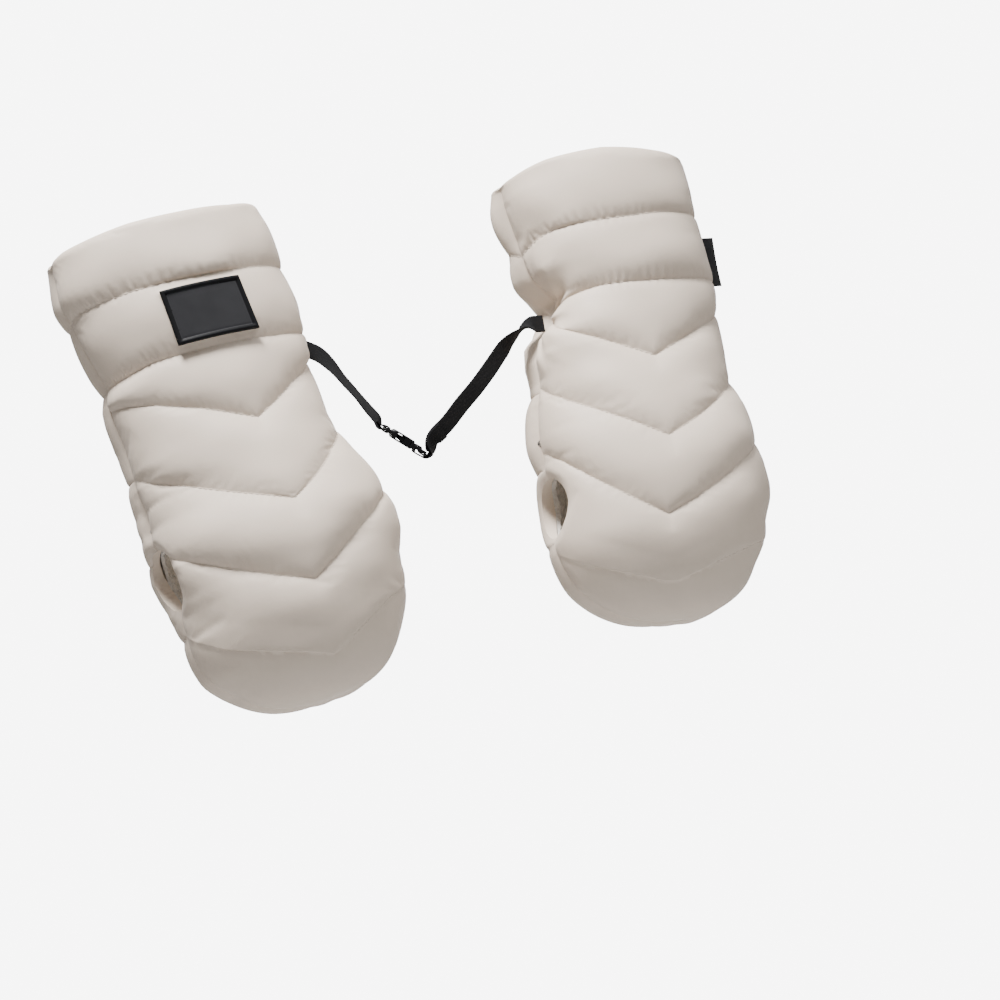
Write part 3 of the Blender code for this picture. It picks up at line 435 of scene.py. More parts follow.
SHELL = shell_cloth((0.810, 0.708, 0.606), (0.762, 0.660, 0.558))
FLEECE = fleece_pile()
WEBBING = black_weave("woven_webbing", (0.008, 0.008, 0.009), 0.88, 0.02, 0.18, (0.0016, 0.0011),
                      (0.003, 0.003, 0.0035), (0.012, 0.012, 0.013), 260.0, (0.2, 0.0001), (0.7, 0.00022))
PLASTIC = moulded("moulded_plastic", (0.008, 0.008, 0.009), ((0.006, 0.006, 0.007), (0.012, 0.012, 0.013)),
                  (0.5, 0.44, 0.60), 0.07, 180.0, (1500.0, 2.0), (0.22, 0.00008))
RUBBER = rubber("patch_rubber_soft", (0.024, 0.024, 0.0265), 0.22)
RUBBER_EDGE = rubber("patch_rubber_border", (0.009, 0.009, 0.010), 0.08)
LABEL = black_weave("label_satin", (0.009, 0.009, 0.010), 0.6, 0.03, 0.2, (0.0005, 0.0004), (0.005, 0.005, 0.006),
                    (0.013, 0.013, 0.014), 200.0, None, (0.6, 0.00012))
METAL = snap_metal()
THREAD = sewing_thread((0.790, 0.690, 0.590), (0.70, 0.61, 0.52))


# Muff surfaces

def from_table(table, at, unit=1.0):
    """Reads a table of places and values in mm, and gives metres."""
    places, values = np.array(table, float).T
    return np.interp(at, places / unit, values / 1000)


def by_height(table, heights):
    return from_table(table, heights, 1000)


def ripple(x, wave, seed):
    """An irregular wave between about -1 and 1 along x."""
    chance = np.random.default_rng(seed)
    total = np.zeros_like(x)
    for _ in range(6):
        total += np.sin(2 * np.pi * x / (wave * chance.uniform(0.65, 1.6)) + chance.uniform(0, 6.283))
    return total / 2.6


def clouds(u, v, wave, seed):
    """A smooth irregular field over two coordinates, between about -1 and 1."""
    chance = np.random.default_rng(seed)
    total = np.zeros_like(u)
    for _ in range(9):
        turn = chance.uniform(0, 6.283)
        size = 2 * np.pi / (wave * chance.uniform(0.6, 1.7))
        total += np.sin((u * math.cos(turn) + v * math.sin(turn)) * size + chance.uniform(0, 6.283))
    return total / 3.2


class Muff:
    def __init__(self, name):
        self.name = name
        self.side = {"left": -1, "right": 1}[name]
        self.strap_side = -self.side
        self.strap_height = STRAP_HEIGHTS[name]
        place = Matrix.Translation((self.side * MUFF_SPACING / 2, 0, 0))
        self.matrix = place @ Matrix.Rotation(self.side * MUFF_LEAN, 4, "Y")

    def world(self, points):
        m = np.array(self.matrix)
        return points @ m[:3, :3].T + m[:3, 3]

    def skin(self, face, p, height, inset, plain=False, narrow_tip=True):
        """Points in the muff's own frame: the part's plain form, with the cloth's departures from it unless plain."""
        p, height, inset = np.broadcast_arrays(p, height, inset)
        at, wide, deep = np.array(STOPS).T
        k = np.clip(np.searchsorted(at, height) - 1, 0, 2)
        ease = (1 - np.cos(np.pi * np.clip((height - at[k]) / (at[k + 1] - at[k]), 0, 1))) / 2
        half_width, half_depth = ((size[k] + (size[k + 1] - size[k]) * ease) / 2 for size in (wide, deep))
        fuller, lift, sway, draw = 0, 0, 0, PLAIN_SEAM_DRAWS[self.name]
        if not plain:
            fuller, sway = by_height(FULLER[self.name], height), by_height(SWAY[self.name], height)
            lift, draw = TIP_LIFT[self.name], SEAM_DRAWS[self.name]
        drop = np.clip((BULB_HEIGHT - height) / BULB_HEIGHT, 0, 1)
        low_part = height < BULB_HEIGHT
        round_share = np.where(low_part, np.clip(1 - drop ** BULB_ROUNDNESS, 0, 1) ** (1 / BULB_ROUNDNESS), 1.0)
        half_width = (half_width + fuller - inset) * round_share
        half_depth = (half_depth + fuller * 0.6 - inset) * round_share
        z = np.where(low_part, BULB_HEIGHT - drop * (BULB_HEIGHT - inset - lift), height)
        along = (height - self.strap_height) / SEAM_DRAW_HEIGHT
        across = (1 - np.abs(p)) / SEAM_DRAW_SHARE
        half_width = half_width - np.where(p * self.strap_side > 0, draw * np.exp(-along ** 2 - across ** 2), 0)
        angle = p * np.pi / 2
        x = half_width * np.sin(angle) + sway
        y = face * (half_depth * np.cos(angle) + GAP / 2)
        if not plain:
            tip = np.clip(height / TIP_HEIGHT, 0, 1) ** 0.7 if narrow_tip else 1.0
            for side, table in EDGES[self.name].items():
                x = x + side * tip * by_height(table, height) * np.sin(np.clip(side * p, 0, 1) * np.pi / 2) ** 1.6
            if face == BACK:
                near_seam = np.exp(-((-p - 0.80) / 0.16) ** 2) * (1 - np.abs(p) ** 14)
                bulge = sum(by_height(BACK_EDGES[self.name], height + d) for d in SMOOTHING) / len(SMOOTHING)
                x = x - bulge * near_seam
            z = z + from_table(RIM_RISE[self.name], p) * np.clip((height - 0.296) / 0.040, 0, 1) ** 1.5
        return np.stack([x, y, z - BAR_HEIGHT], -1)


def columns_of(count):
    return np.linspace(-1, 1, count + 1)


def panel_lines(muff, section, p):
    """Heights of a panel's top edge, quilting lines and bottom edge, at each share across."""
    flat = np.ones_like(p)
    if section == "front":
        return [flat * MUFF_LENGTH] + [from_table(table, p) for table in LINES[muff.name]] + [flat * 0]
    if section == "flap":
        return [flat * height for height in (HINGE_LINE - GAP / 2, *FLAP_LINES, 0)]
    straight = [CUFF_LINE + 0.001 * p, PATCH_LINE - 0.001 * p]
    for line, table in zip(straight, LINES[muff.name]):
        ends = from_table(table, (-1.0, 1.0))
        line += (np.where(p < 0, ends[0], ends[1]) - line) * np.abs(p) ** 6
    return [flat * MUFF_LENGTH, *straight, flat * (HINGE_LINE + GAP / 2)]


# Quilting: the rolled rim, half the width along the cloth, and by channel the puffs, their lean and the lines' puckers
ROLL = 0.0042
ARC = 0.115
FAINT = ((-1, 0.80), (-0.8, 0.88), (-0.3, 0.93), (0.05, 0.93), (0.22, 0.86), (1, 0.80))
PUFFS = {"front": (2.2, 3.2, 2.6, 2.9, 3.1, 2.9, 2.0), "back": (2.6, 3.4, 3.6), "flap": (3.6, 3.6, 2.4)}
SKEWS = {"front": (1.35, 1.40, 1.1, 1.05, 1.05, 1.0, 0.9), "back": (1.3, 1.35, 1.1), "flap": (1.0, 1.0, 0.9)}
PUCKERS = {"front": (0.0, 1.0, 1.0, 0.07, 0.06, 0.05, 0.04, 0), "back": (0, 0.35, 0.40, 0.20),
           "flap": (0.20, 0.12, 0.12, 0)}
BIAS_PLACES = (-1, -0.2, 0.5, 1)
STITCH_DEPTH = 0.0009

SIM_SCALE = 10.0
SIM_LIMIT = 0.0065
SIM = dict(quality=6, air=2.0, tension=25.0, shear=10.0, bending=0.06, slack=0.006, seam_slack=0.065, pressure=2.3,
           frames=18)


class Panel:
    """One quilted panel's outer skin as a dense grid in the muff's frame."""

    def __init__(self, muff, section, count, step):
        self.muff, self.section = muff, section
        self.face = FRONT if section == "front" else BACK
        self.p = columns_of(count)
        self.lines = panel_lines(muff, section, self.p)
        rows, self.line_rows = [], []
        last = len(self.lines) - 1
        if section != "flap":
            for turn in np.radians((90, 68, 46, 23)):
                rows.append(dict(height=self.lines[0] - ROLL * (1 - math.sin(turn)), inset=ROLL * (1 - math.cos(turn)),
                                 band=0, share=0.0, gap=None))
        for band in range(last):
            upper, lower = self.lines[band].copy(), self.lines[band + 1]
            if band == 0 and section != "flap":
                upper -= ROLL
            self.line_rows.append(len(rows))
            tip = lower.max() == 0
            steps = max(8, round(float(np.mean(upper - lower)) / step))
            for k in range(steps + (band == last - 1)):
                t = k / steps
                share = 0.4 * t + 0.3 * (1 - math.cos(math.pi * t))
                height = upper * (1 - t) ** 2 if tip else upper + (lower - upper) * share
                rows.append(dict(height=height, inset=0.0, band=band, share=t if tip else share, gap=upper - lower))
        self.line_rows.append(len(rows) - 1)
        self.height = np.array([r["height"] for r in rows])
        self.swell = np.array([self.row_swell(r) for r in rows])
        self.points = muff.skin(self.face, self.p[None, :], self.height, -self.swell)
        self.line_rows = self.line_rows[1:-1]

    def row_swell(self, row):
        """How far one row stands out from the plain form, at each share across."""
        p, muff, section = self.p, self.muff, self.section
        if row["gap"] is None:
            return -row["inset"] - 0 * p
        band, share, height = row["band"], row["share"], row["height"]
        other = section != "front"
        crown = max(math.sin(math.pi * min(share, 1.0) ** SKEWS[section][band]), 0.0) ** 0.62
        if section == "front" and band >= 5:
            faint = share if band == 5 else 1 - share
            crown = np.maximum(crown, np.interp(p, *zip(*FAINT)) * min(max(faint * 2 - 1, 0) * 2.5, 1))
        inward = STITCH_DEPTH * (share if band == 0 and section != "flap" else 1)
        puff = np.minimum(PUFFS[section][band] / 1000, 0.17 * row["gap"])
        fall = 1 - np.exp(-(1 - np.abs(p)) * ARC / 0.0110)
        swell = puff * crown * fall - inward * (1 - crown) - 0.0012 * (1 - fall)
        arc = p * ARC
        bias = np.interp(p, BIAS_PLACES, (1.0, 0.75, 0.40, 0.55))
        for k in (band, band + 1):
            above, amount = k == band + 1, PUCKERS[section][k]
            if amount:
                away = np.abs(height - self.lines[k])
                waves = ripple(arc + 0.15 * away, 0.0056, 31 * k + (7 if muff.side > 0 else 3) + 100 * other)
                depth = amount * (0.0012 if above else 0.0006) * bias * fall
                reach = 0.0036 if above else 0.0022
                swell = swell + depth * waves * np.exp(-away / reach) * (1 - np.exp(-away / 0.0012))
        wide = clouds(arc, height, 0.055, 5 + (muff.side > 0) + 10 * other)
        swell = swell + 0.0007 * wide * fall * (crown if band or section == "flap" else 1.0)
        return swell if section == "flap" else swell + self.cinch(height, fall)

    def gathered(self):
        """Where the cloth is gathered by its stitching, from 0 to 1: most along the two straight lines."""
        p = self.p
        bias = np.interp(p, BIAS_PLACES, (1.0, 0.75, 0.35, 0.5))
        total = np.zeros(self.height.shape)
        for line, amount in zip(self.lines, PUCKERS[self.section]):
            above = self.height > line
            away = np.abs(self.height - line)
            near = np.exp(-(away / np.where(above, 0.0042, 0.0025)) ** 1.5)
            total = np.maximum(total, min(amount, 1.0) * bias * near)
        return np.clip(total, 0, 1)

    def cinch(self, height, fall):
        """Folds that run out from where the strap pulls the seam in."""
        muff, p = self.muff, self.p
        out, up = (1 - p * muff.strap_side) * ARC, height - muff.strap_height
        far, turn = np.hypot(out, up), np.arctan2(up, out + 1e-6)
        strength = (0.0030 if muff.name == "right" else 0.0010) * (1.0 if self.face == FRONT else 0.35)
        waves = np.sin(turn * 9.5 + 0.7 * np.sin(far / 0.012)) + 0.4 * np.sin(turn * 17 + 2.0)
        waves = np.sign(waves) * np.abs(waves) ** 0.8
        return strength * waves * np.exp(-(far / 0.040) ** 1.6) * (1 - np.exp(-far / 0.009)) * fall


def new_mesh(name, points, faces):
    mesh = bpy.data.meshes.new(name)
    mesh.from_pydata(np.reshape(points, (-1, 3)).tolist(), [], faces)
    return mesh


def grid_mesh(name, points):
    rows, columns = points.shape[:2]
    return new_mesh(name, points, [(a, a + columns, a + columns + 1, a + 1) for r in range(rows - 1)
                                   for a in range(r * columns, (r + 1) * columns - 1)])


def loft_faces(rings, around, base=0, closed=False):
    """Faces between rings of points, and end caps unless the last ring meets the first."""
    faces = []
    for r in range(rings if closed else rings - 1):
        a, b = base + r * around, base + (r + 1) % rings * around
        faces += [(a + c, a + (c + 1) % around, b + (c + 1) % around, b + c) for c in range(around)]
    if not closed:
        last = base + (rings - 1) * around
        faces += [tuple(range(base, base + around))[::-1], tuple(range(last, last + around))]
    return faces


def drape(panel, held):
    """Blows the padded cloth out against its seams and stitching, as its filling does."""
    blunt = panel.muff.skin(panel.face, panel.p[None, :], panel.height, -panel.swell, narrow_tip=False)
    start = blunt * SIM_SCALE
    mesh = grid_mesh("drape", start)
    middle = (len(panel.p) - 1) * (len(panel.height) // 2) + len(panel.p) // 2
    if mesh.polygons[middle].normal.y * panel.face < 0:
        mesh.flip_normals()
    cloth_object = bpy.data.objects.new("drape", mesh)
    bpy.context.scene.collection.objects.link(cloth_object)
    group = cloth_object.vertex_groups.new(name="held")
    flat = held.reshape(-1)
    group.add([int(k) for k in np.flatnonzero(flat >= 1)], 1.0, "REPLACE")
    loose = cloth_object.vertex_groups.new(name="gathered")
    loose.add(list(range(flat.size)), 0.0, "REPLACE")
    levels = np.round(panel.gathered().reshape(-1) * 8).astype(int)
    for level in range(1, 9):
        loose.add([int(k) for k in np.flatnonzero(levels == level)], level / 8, "REPLACE")
    cloth = cloth_object.modifiers.new("cloth", "CLOTH")
    settings = cloth.settings
    settings.quality = SIM["quality"]
    settings.mass = 0.3
    settings.air_damping = SIM["air"]
    settings.tension_stiffness = settings.compression_stiffness = SIM["tension"]
    settings.shear_stiffness = SIM["shear"]
    settings.bending_model = "ANGULAR"
    settings.bending_stiffness = SIM["bending"]
    settings.tension_damping = settings.compression_damping = settings.shear_damping = 10.0
    settings.bending_damping = 1.0
    settings.shrink_min, settings.shrink_max = -SIM["slack"], -SIM["seam_slack"]
    settings.vertex_group_shrink = "gathered"
    settings.use_pressure = True
    settings.uniform_pressure_force = SIM["pressure"]
    settings.vertex_group_mass = "held"
    settings.effector_weights.gravity = 0.0
    cloth.collision_settings.use_collision = False
    cloth.point_cache.frame_start, cloth.point_cache.frame_end = 1, SIM["frames"]
    scene = bpy.context.scene
    for frame in range(1, SIM["frames"] + 1):
        scene.frame_set(frame)
    found = cloth_object.evaluated_get(bpy.context.evaluated_depsgraph_get()).to_mesh()
    moved = np.empty(len(found.vertices) * 3)
    found.vertices.foreach_get("co", moved)
    moved = moved.reshape(start.shape) / SIM_SCALE
    scene.frame_set(1)
    bpy.data.objects.remove(cloth_object)
    bpy.data.meshes.remove(mesh)
    shift = moved - blunt
    far = np.linalg.norm(shift, axis=-1, keepdims=True)
    print(f"drape {panel.muff.name} {panel.section}: {far.max() * 1000:.1f} mm at most, {far.mean() * 1000:.2f} mean")
    shift *= np.minimum(1, SIM_LIMIT / np.maximum(far, 1e-9))
    if panel.section == "front":
        close = np.exp(-((panel.height - panel.lines[-2]) / 0.024) ** 2)
        shift *= 1 - (close * np.interp(panel.p, (-1, -0.7, 0.05, 0.3), (0.2, 0.7, 0.7, 0.25)))[..., None]
    if panel.section != "back":
        shift *= np.clip(panel.height / 0.016, 0, 1)[..., None] ** 0.7
    else:
        near_left, near_right = 0.30 if panel.muff.name == "right" else 0.14, 0.14
        held_back = np.exp(-((1 + panel.p) / near_left) ** 2), np.exp(-((1 - panel.p) / near_right) ** 2)
        shift *= (1 - held_back[0] - held_back[1])[None, :, None]
    return panel.points + shift


def inner_side(muff, panel, every=4):
    """The plain inner side of a panel, and which of the outer side's rows it keeps."""
    picked = list(range(0, len(panel.height) - 1, every)) + [len(panel.height) - 1]
    heights = panel.height[picked].copy()
    if panel.section != "flap":
        heights[0] -= ROLL * 0.15
    inner = muff.skin(panel.face, panel.p[None, :], heights, np.full_like(heights, WALL))
    if panel.section != "flap":
        inner[0] = muff.skin(panel.face, panel.p, heights[0], 2 * ROLL - 0.001)
    return inner, picked


def shell_mesh(name, outer, inner, picked):
    """A closed shell whose inner side has fewer rows than its outer side."""
    rows, columns = outer.shape[:2]
    base, kept = rows * columns, inner.shape[0]
    steps = range(columns - 1)
    faces = []
    for a in (r * columns + c for r in range(rows - 1) for c in steps):
        faces.append((a, a + 1, a + columns + 1, a + columns))
    for a in (base + r * columns + c for r in range(kept - 1) for c in steps):
        faces.append((a, a + columns, a + columns + 1, a + 1))
    for c in steps:
        faces.append((c + 1, c, base + c, base + c + 1))
        low, inside = (rows - 1) * columns + c, base + (kept - 1) * columns + c
        faces.append((low, low + 1, inside + 1, inside))
    for c, way in ((0, 1), (columns - 1, -1)):
        for r in range(kept - 1):
            far = [n * columns + c for n in range(picked[r], picked[r + 1] + 1)]
            faces.append(tuple([base + r * columns + c, *far, base + (r + 1) * columns + c][::way]))
    return new_mesh(name, np.concatenate([outer.reshape(-1, 3), inner.reshape(-1, 3)]), faces)


def add_uv(mesh, coordinates):
    """A UV map in metres, from one pair for each vertex."""
    layer = mesh.uv_layers.new(name="cloth")
    index = np.zeros(len(mesh.loops), int)
    mesh.loops.foreach_get("vertex_index", index)
    layer.data.foreach_set("uv", coordinates[index].astype(np.float32).ravel())


def weld(mesh, distance=0.00001):
    bm = bmesh.new()
    bm.from_mesh(mesh)
    bmesh.ops.remove_doubles(bm, verts=bm.verts, dist=distance)
    bmesh.ops.dissolve_degenerate(bm, edges=bm.edges, dist=distance / 10)
    bmesh.ops.recalc_face_normals(bm, faces=bm.faces)
    bm.to_mesh(mesh)
    bm.free()


def add_object(name, mesh, material, smooth=50):
    mesh.materials.append(material)
    mesh.shade_smooth()
    mesh.set_sharp_from_angle(angle=math.radians(smooth))
    made = bpy.data.objects.new(name, mesh)
    bpy.context.scene.collection.objects.link(made)
    return made


def cut(target, cutter):
    """Applies an exact cut."""
    change = target.modifiers.new("cut", "BOOLEAN")
    change.operation, change.solver, change.object = "DIFFERENCE", "EXACT", cutter
    bpy.context.view_layer.update()
    done = bpy.data.meshes.new_from_object(target.evaluated_get(bpy.context.evaluated_depsgraph_get()))
    target.modifiers.clear()
    target.data = done


def bar_cutter():
    bpy.ops.mesh.primitive_cylinder_add(vertices=64, radius=BAR_HOLE, depth=0.6, rotation=(0, math.pi / 2, 0))
    made = bpy.context.object
    made.name = "bar_way"
    return made


def hand_over(made, body, stands_for):
    """Gives a finished piece to its body and hides the node that it replaces."""
    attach(made, body)
    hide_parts(stands_for)


def body_of(muff, section):
    return f"{muff.name}_flap" if section == "flap" else f"{muff.name}_muff"


def build_panel(muff, section, cutter):
    columns, step = (160, 0.0018) if section == "front" else (120, 0.0024)
    panel = Panel(muff, section, columns, step)
    world = muff.world(panel.points)
    around = np.hypot(world[..., 1], world[..., 2])
    near = np.clip((around - BAR_HOLE) / 0.008, 0, 1)
    if section != "back":
        panel.swell = panel.swell - 0.0040 * (1 - near) ** 2
        panel.points = muff.skin(panel.face, panel.p[None, :], panel.height, -panel.swell)
    held = np.zeros(panel.height.shape)
    held[panel.line_rows] = 1
    held[-1] = held[:, 0] = held[:, -1] = 1
    held[: 3 if section != "flap" else 1] = 1
    held[around < BAR_HOLE + 0.0015] = 1
    panel.points = drape(panel, held)
    inner, picked = inner_side(muff, panel)
    name = f"{muff.name}_{section}_shell"
    mesh = shell_mesh(name, muff.world(panel.points), muff.world(inner), picked)
    flat = np.stack([np.broadcast_to(panel.p * ARC, panel.height.shape), panel.height], -1)
    add_uv(mesh, np.concatenate([flat.reshape(-1, 2), flat[picked].reshape(-1, 2)]))
    weld(mesh)
    shell = add_object(name, mesh, SHELL)
    if section != "back":
        cut(shell, cutter)
    hand_over(shell, body_of(muff, section), f"{muff.name}_{section}_panel")
    add_stitches(muff, panel, section)
    return panel


STITCH_RINGS = ((0.0, 0.35, -0.5), (0.14, 0.85, 0.0), (0.5, 1.0, 0.35), (0.86, 0.85, 0.0), (1.0, 0.35, -0.5))


def tubes(name, paths, radius, material, sides):
    """Short thread stitches as capsules, from pairs of end points and outward directions."""
    points, faces = [], []
    for a, b, out in paths:
        along = b - a
        length = np.linalg.norm(along)
        if length < 1e-6:
            continue
        along = along / length
        side = np.cross(along, out)
        side /= max(np.linalg.norm(side), 1e-9)
        lift = np.cross(side, along)
        faces += loft_faces(len(STITCH_RINGS), sides, len(points))
        for at, size, rise in STITCH_RINGS:
            centre = a + along * length * at + lift * radius * rise
            for k in range(sides):
                turn = 2 * math.pi * k / sides
                points.append(centre + (side * math.cos(turn) + lift * math.sin(turn)) * radius * size)
    return add_object(name, new_mesh(name, points, faces), material, smooth=60)


def stitch_line(points, normals, length=0.0027, gap=0.0011, lift=0.0002):
    """Splits a line on the cloth into stitches."""
    steps = np.linalg.norm(np.diff(points, axis=0), axis=1)
    along = np.concatenate([[0], np.cumsum(steps)])
    found = []
    at = gap
    while at + length < along[-1]:
        ends = [np.array([np.interp(where, along, points[:, k]) for k in range(3)]) for where in (at, at + length)]
        out = np.array([np.interp(at, along, normals[:, k]) for k in range(3)])
        found.append((ends[0] + out * lift, ends[1] + out * lift, out))
        at += length + gap
    return found


def grid_normals(points, face):
    du = np.gradient(points, axis=1)
    dv = np.gradient(points, axis=0)
    normal = np.cross(du, dv)
    normal /= np.maximum(np.linalg.norm(normal, axis=-1, keepdims=True), 1e-9)
    return normal


def add_stitches(muff, panel, section):
    """Quilting thread along each line, apart from the faint part of the front's last one."""
    world = muff.world(panel.points)
    normal = grid_normals(world, panel.face)
    centre = world.reshape(-1, 3).mean(0)
    if np.mean(np.sum(normal * (world - centre), -1)) < 0:
        normal = -normal
    found = []
    for row in panel.line_rows:
        keep = np.hypot(world[row][:, 1], world[row][:, 2]) > BAR_HOLE + 0.002
        keep &= np.abs(panel.p) < 0.985
        if section == "front" and row == panel.line_rows[-1]:
            keep &= panel.p > 0.12
        found += stitch_line(world[row][keep], normal[row][keep])
    stitches = tubes(f"{muff.name}_{section}_stitches", found, 0.00026, THREAD, sides=5)
    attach(stitches, body_of(muff, section))


MUFFS = {name: Muff(name) for name in ("left", "right")}
bar_way = bar_cutter()
PANELS = {}
for muff in MUFFS.values():
    for section in ("front", "back", "flap"):
        PANELS[muff.name, section] = build_panel(muff, section, bar_way)


# Linings and facings

def lining(muff, section, cutter):
    """The fleece behind a panel, tufted on its open side."""
    face = FRONT if section == "front" else BACK
    p = columns_of(72)
    top, bottom, rows = {"front": (0.3120, 0.0, 72), "back": (0.3120, HINGE_LINE + GAP / 2, 40),
                         "flap": (HINGE_LINE - GAP / 2, 0.0, 40)}[section]
    t = np.linspace(0, 1, rows + 1)[:, None]
    height = top * (1 - t) ** 1.4 if bottom == 0 else top + (bottom - top) * t
    height = np.broadcast_to(height, (rows + 1, len(p))).copy()
    arc = np.broadcast_to(p[None, :] * ARC, height.shape)
    tufts = 0.0006 * clouds(arc, height, 0.009, 3) + 0.0003 * clouds(arc, height, 0.004, 9)
    edge = np.minimum(np.minimum(t, 1 - t) * rows / 3, 1) * np.minimum((1 - np.abs(p[None, :])) * 20, 1)
    near = muff.skin(face, p[None, :], height, WALL + LINING_GAP - 0.0002)
    far = muff.skin(face, p[None, :], height, WALL + LINING_GAP + LINING + tufts * edge)
    name = f"{muff.name}_{section}_fleece"
    mesh = shell_mesh(name, muff.world(far), muff.world(near[::4]), list(range(0, rows + 1, 4)))
    weld(mesh)
    made = add_object(name, mesh, FLEECE)
    if section != "back":
        cut(made, cutter)
    hand_over(made, body_of(muff, section), f"{muff.name}_{section}_lining")


def facing(muff):
    """The shell cloth turned in at the cuff: one ring with a soft lower edge."""
    half, pitch, top = 80, 0.0026, MUFF_LENGTH - 0.0045
    p = np.concatenate([columns_of(half)[:-1]] * 2)
    faces = np.array([FRONT] * half + [BACK] * half)
    turned = np.where(faces == FRONT, p, -p)
    profile = [(MUFF_LENGTH - 0.0030, 2 * ROLL + 0.0001), (top, 2 * ROLL + 0.0009)]
    profile += [(top - 0.0195 * t, WALL + LINING_GAP + FACING + 0.0006 * math.sin(math.pi * t))
                for t in np.linspace(0.1, 1, 10)]
    profile += [(MUFF_LENGTH - 0.0243, WALL + LINING_GAP + FACING * 0.6), (MUFF_LENGTH - 0.0240, WALL + LINING_GAP)]
    profile += [(MUFF_LENGTH - 0.012, WALL + LINING_GAP), (MUFF_LENGTH - 0.0035, 2 * ROLL + 0.00005)]
    along = np.arange(2 * half) * pitch
    wobble = 0.0004 * ripple(along, 0.04, 5)
    rings = []
    for height, inset in profile:
        ring = np.zeros((2 * half, 3))
        for side in (FRONT, BACK):
            some = faces == side
            loose = wobble[some] * (0.006 < MUFF_LENGTH - height < 0.022)
            ring[some] = muff.skin(side, turned[some], height, inset + loose)
        rings.append(muff.world(ring))
    name = f"{muff.name}_facing"
    mesh = new_mesh(name, np.concatenate(rings), loft_faces(len(rings), 2 * half, closed=True))
    add_uv(mesh, np.stack([np.tile(along, len(rings)), np.repeat([height for height, _ in profile], 2 * half)], -1))
    weld(mesh)
    made = add_object(name, mesh, SHELL)
    hand_over(made, f"{muff.name}_muff", f"{muff.name}_cuff_facing")


for muff in MUFFS.values():
    for section in ("front", "back", "flap"):
        lining(muff, section, bar_way)
    facing(muff)
bpy.data.objects.remove(bar_way)


# Webbing

def buckle_matrix():
    along = Vector((math.cos(BUCKLE_SLOPE), 0.0, -math.sin(BUCKLE_SLOPE)))
    level = Vector((math.sin(BUCKLE_SLOPE), 0.0, math.cos(BUCKLE_SLOPE)))
    across = Vector((0.0, math.cos(BUCKLE_ROLL), 0.0)) + level * math.sin(BUCKLE_ROLL)
    turn = Matrix((along, across, along.cross(across))).transposed().to_4x4()
    half_length = (FEMALE_LENGTH + GAP + MALE_BLOCK + 2 * WEBBING_SLOT + 2 * CROSSBAR) / 2
    return Matrix.Translation(BUCKLE_CENTRE) @ turn @ Matrix.Translation((-half_length, 0.0, 0.0))


def smooth_route(points, facing):
    """A centripetal curve through the points, with the way that the band's width faces."""
    fine, turns = [points[0]], [facing[0]]
    for k in range(len(points) - 1):
        p0 = points[k - 1] if k else points[0] * 2 - points[1]
        p1, p2 = points[k], points[k + 1]
        p3 = points[k + 2] if k + 2 < len(points) else p2 * 2 - p1
        knots = [0.0]
        for a, b in ((p0, p1), (p1, p2), (p2, p3)):
            knots.append(knots[-1] + max((b - a).length, 0.00001) ** 0.5)
        t0, t1, t2, t3 = knots
        for step in range(1, ROUTE_STEPS + 1):
            share = step / ROUTE_STEPS
            t = t1 + (t2 - t1) * share
            a1 = p0.lerp(p1, (t - t0) / (t1 - t0))
            a2 = p1.lerp(p2, (t - t1) / (t2 - t1))
            a3 = p2.lerp(p3, (t - t2) / (t3 - t2))
            b1 = a1.lerp(a2, (t - t0) / (t2 - t0))
            b2 = a2.lerp(a3, (t - t1) / (t3 - t1))
            fine.append(b1.lerp(b2, (t - t1) / (t2 - t1)))
            turns.append(facing[k].lerp(facing[k + 1], share))
    return fine, turns


def strap_route(muff, matrix):
    seam = Vector(muff.skin(FRONT, float(muff.strap_side), muff.strap_height, 0.0, plain=True).tolist())
    seam.y = 0.0
    inward = Vector((-muff.strap_side, 0.0, 0.0))
    points = [muff.matrix @ (seam + inward * reach) for reach in (WEBBING_SEWN_IN, 0.0, -STRAP_LEAD)]
    facing = [muff.matrix.to_3x3() @ Vector((0, 0, 1))] * 3
    free, turns = ROUTES[muff.name]
    points += [Vector(q) for q in free]
    facing += [Vector(q) for q in turns]
    radius = FRAME_THICKNESS / 2 + 2 * GAP + WEBBING_THICKNESS / 2
    layer = WEBBING_THICKNESS + WEBBING_LAYER_GAP
    if muff.name == "left":
        local = [(CROSSBAR / 2 + radius * a, radius * t + layer * b) for a, t, b in LEFT_LOOP_SHARES]
    else:
        second = FEMALE_LENGTH + GAP + MALE_BLOCK + WEBBING_SLOT + CROSSBAR
        middle, end = second - CROSSBAR / 2, second + WEBBING_SLOT + CROSSBAR / 2
        local = [(bar + radius * a + layer * o, radius * t + layer * b)
                 for bar, shares in ((end, END_BAR_IN_SHARES), (middle, MIDDLE_BAR_SHARES), (end, END_BAR_OUT_SHARES))
                 for a, t, o, b in shares]
    points += [matrix @ Vector((x, 0.0, z)) for x, z in local]
    across, free_way = matrix.to_3x3() @ Vector((0.0, 1.0, 0.0)), facing[-1].normalized()
    turned = [free_way.lerp(across, share) for share in (0.42, 0.82)]
    facing += turned + [across] * (len(local) - 2)
    if muff.name == "right":
        lead, tail = 3, []
        for k in range(lead + len(free) - 1, lead + len(free) - 3, -1):
            ahead = (points[k - 1] - points[k + 1]).normalized()
            wide = (facing[k] - ahead * facing[k].dot(ahead)).normalized()
            outward = wide.cross(ahead)
            if outward.z > 0:
                outward = -outward
            tail.append((points[k] + outward * layer, facing[k].copy()))
        tail[1] = tuple(tail[0][n].lerp(tail[1][n], TAIL_SHARE) for n in (0, 1))
        points += [q for q, _ in tail]
        facing += [f for _, f in tail]
    return smooth_route(points, facing)


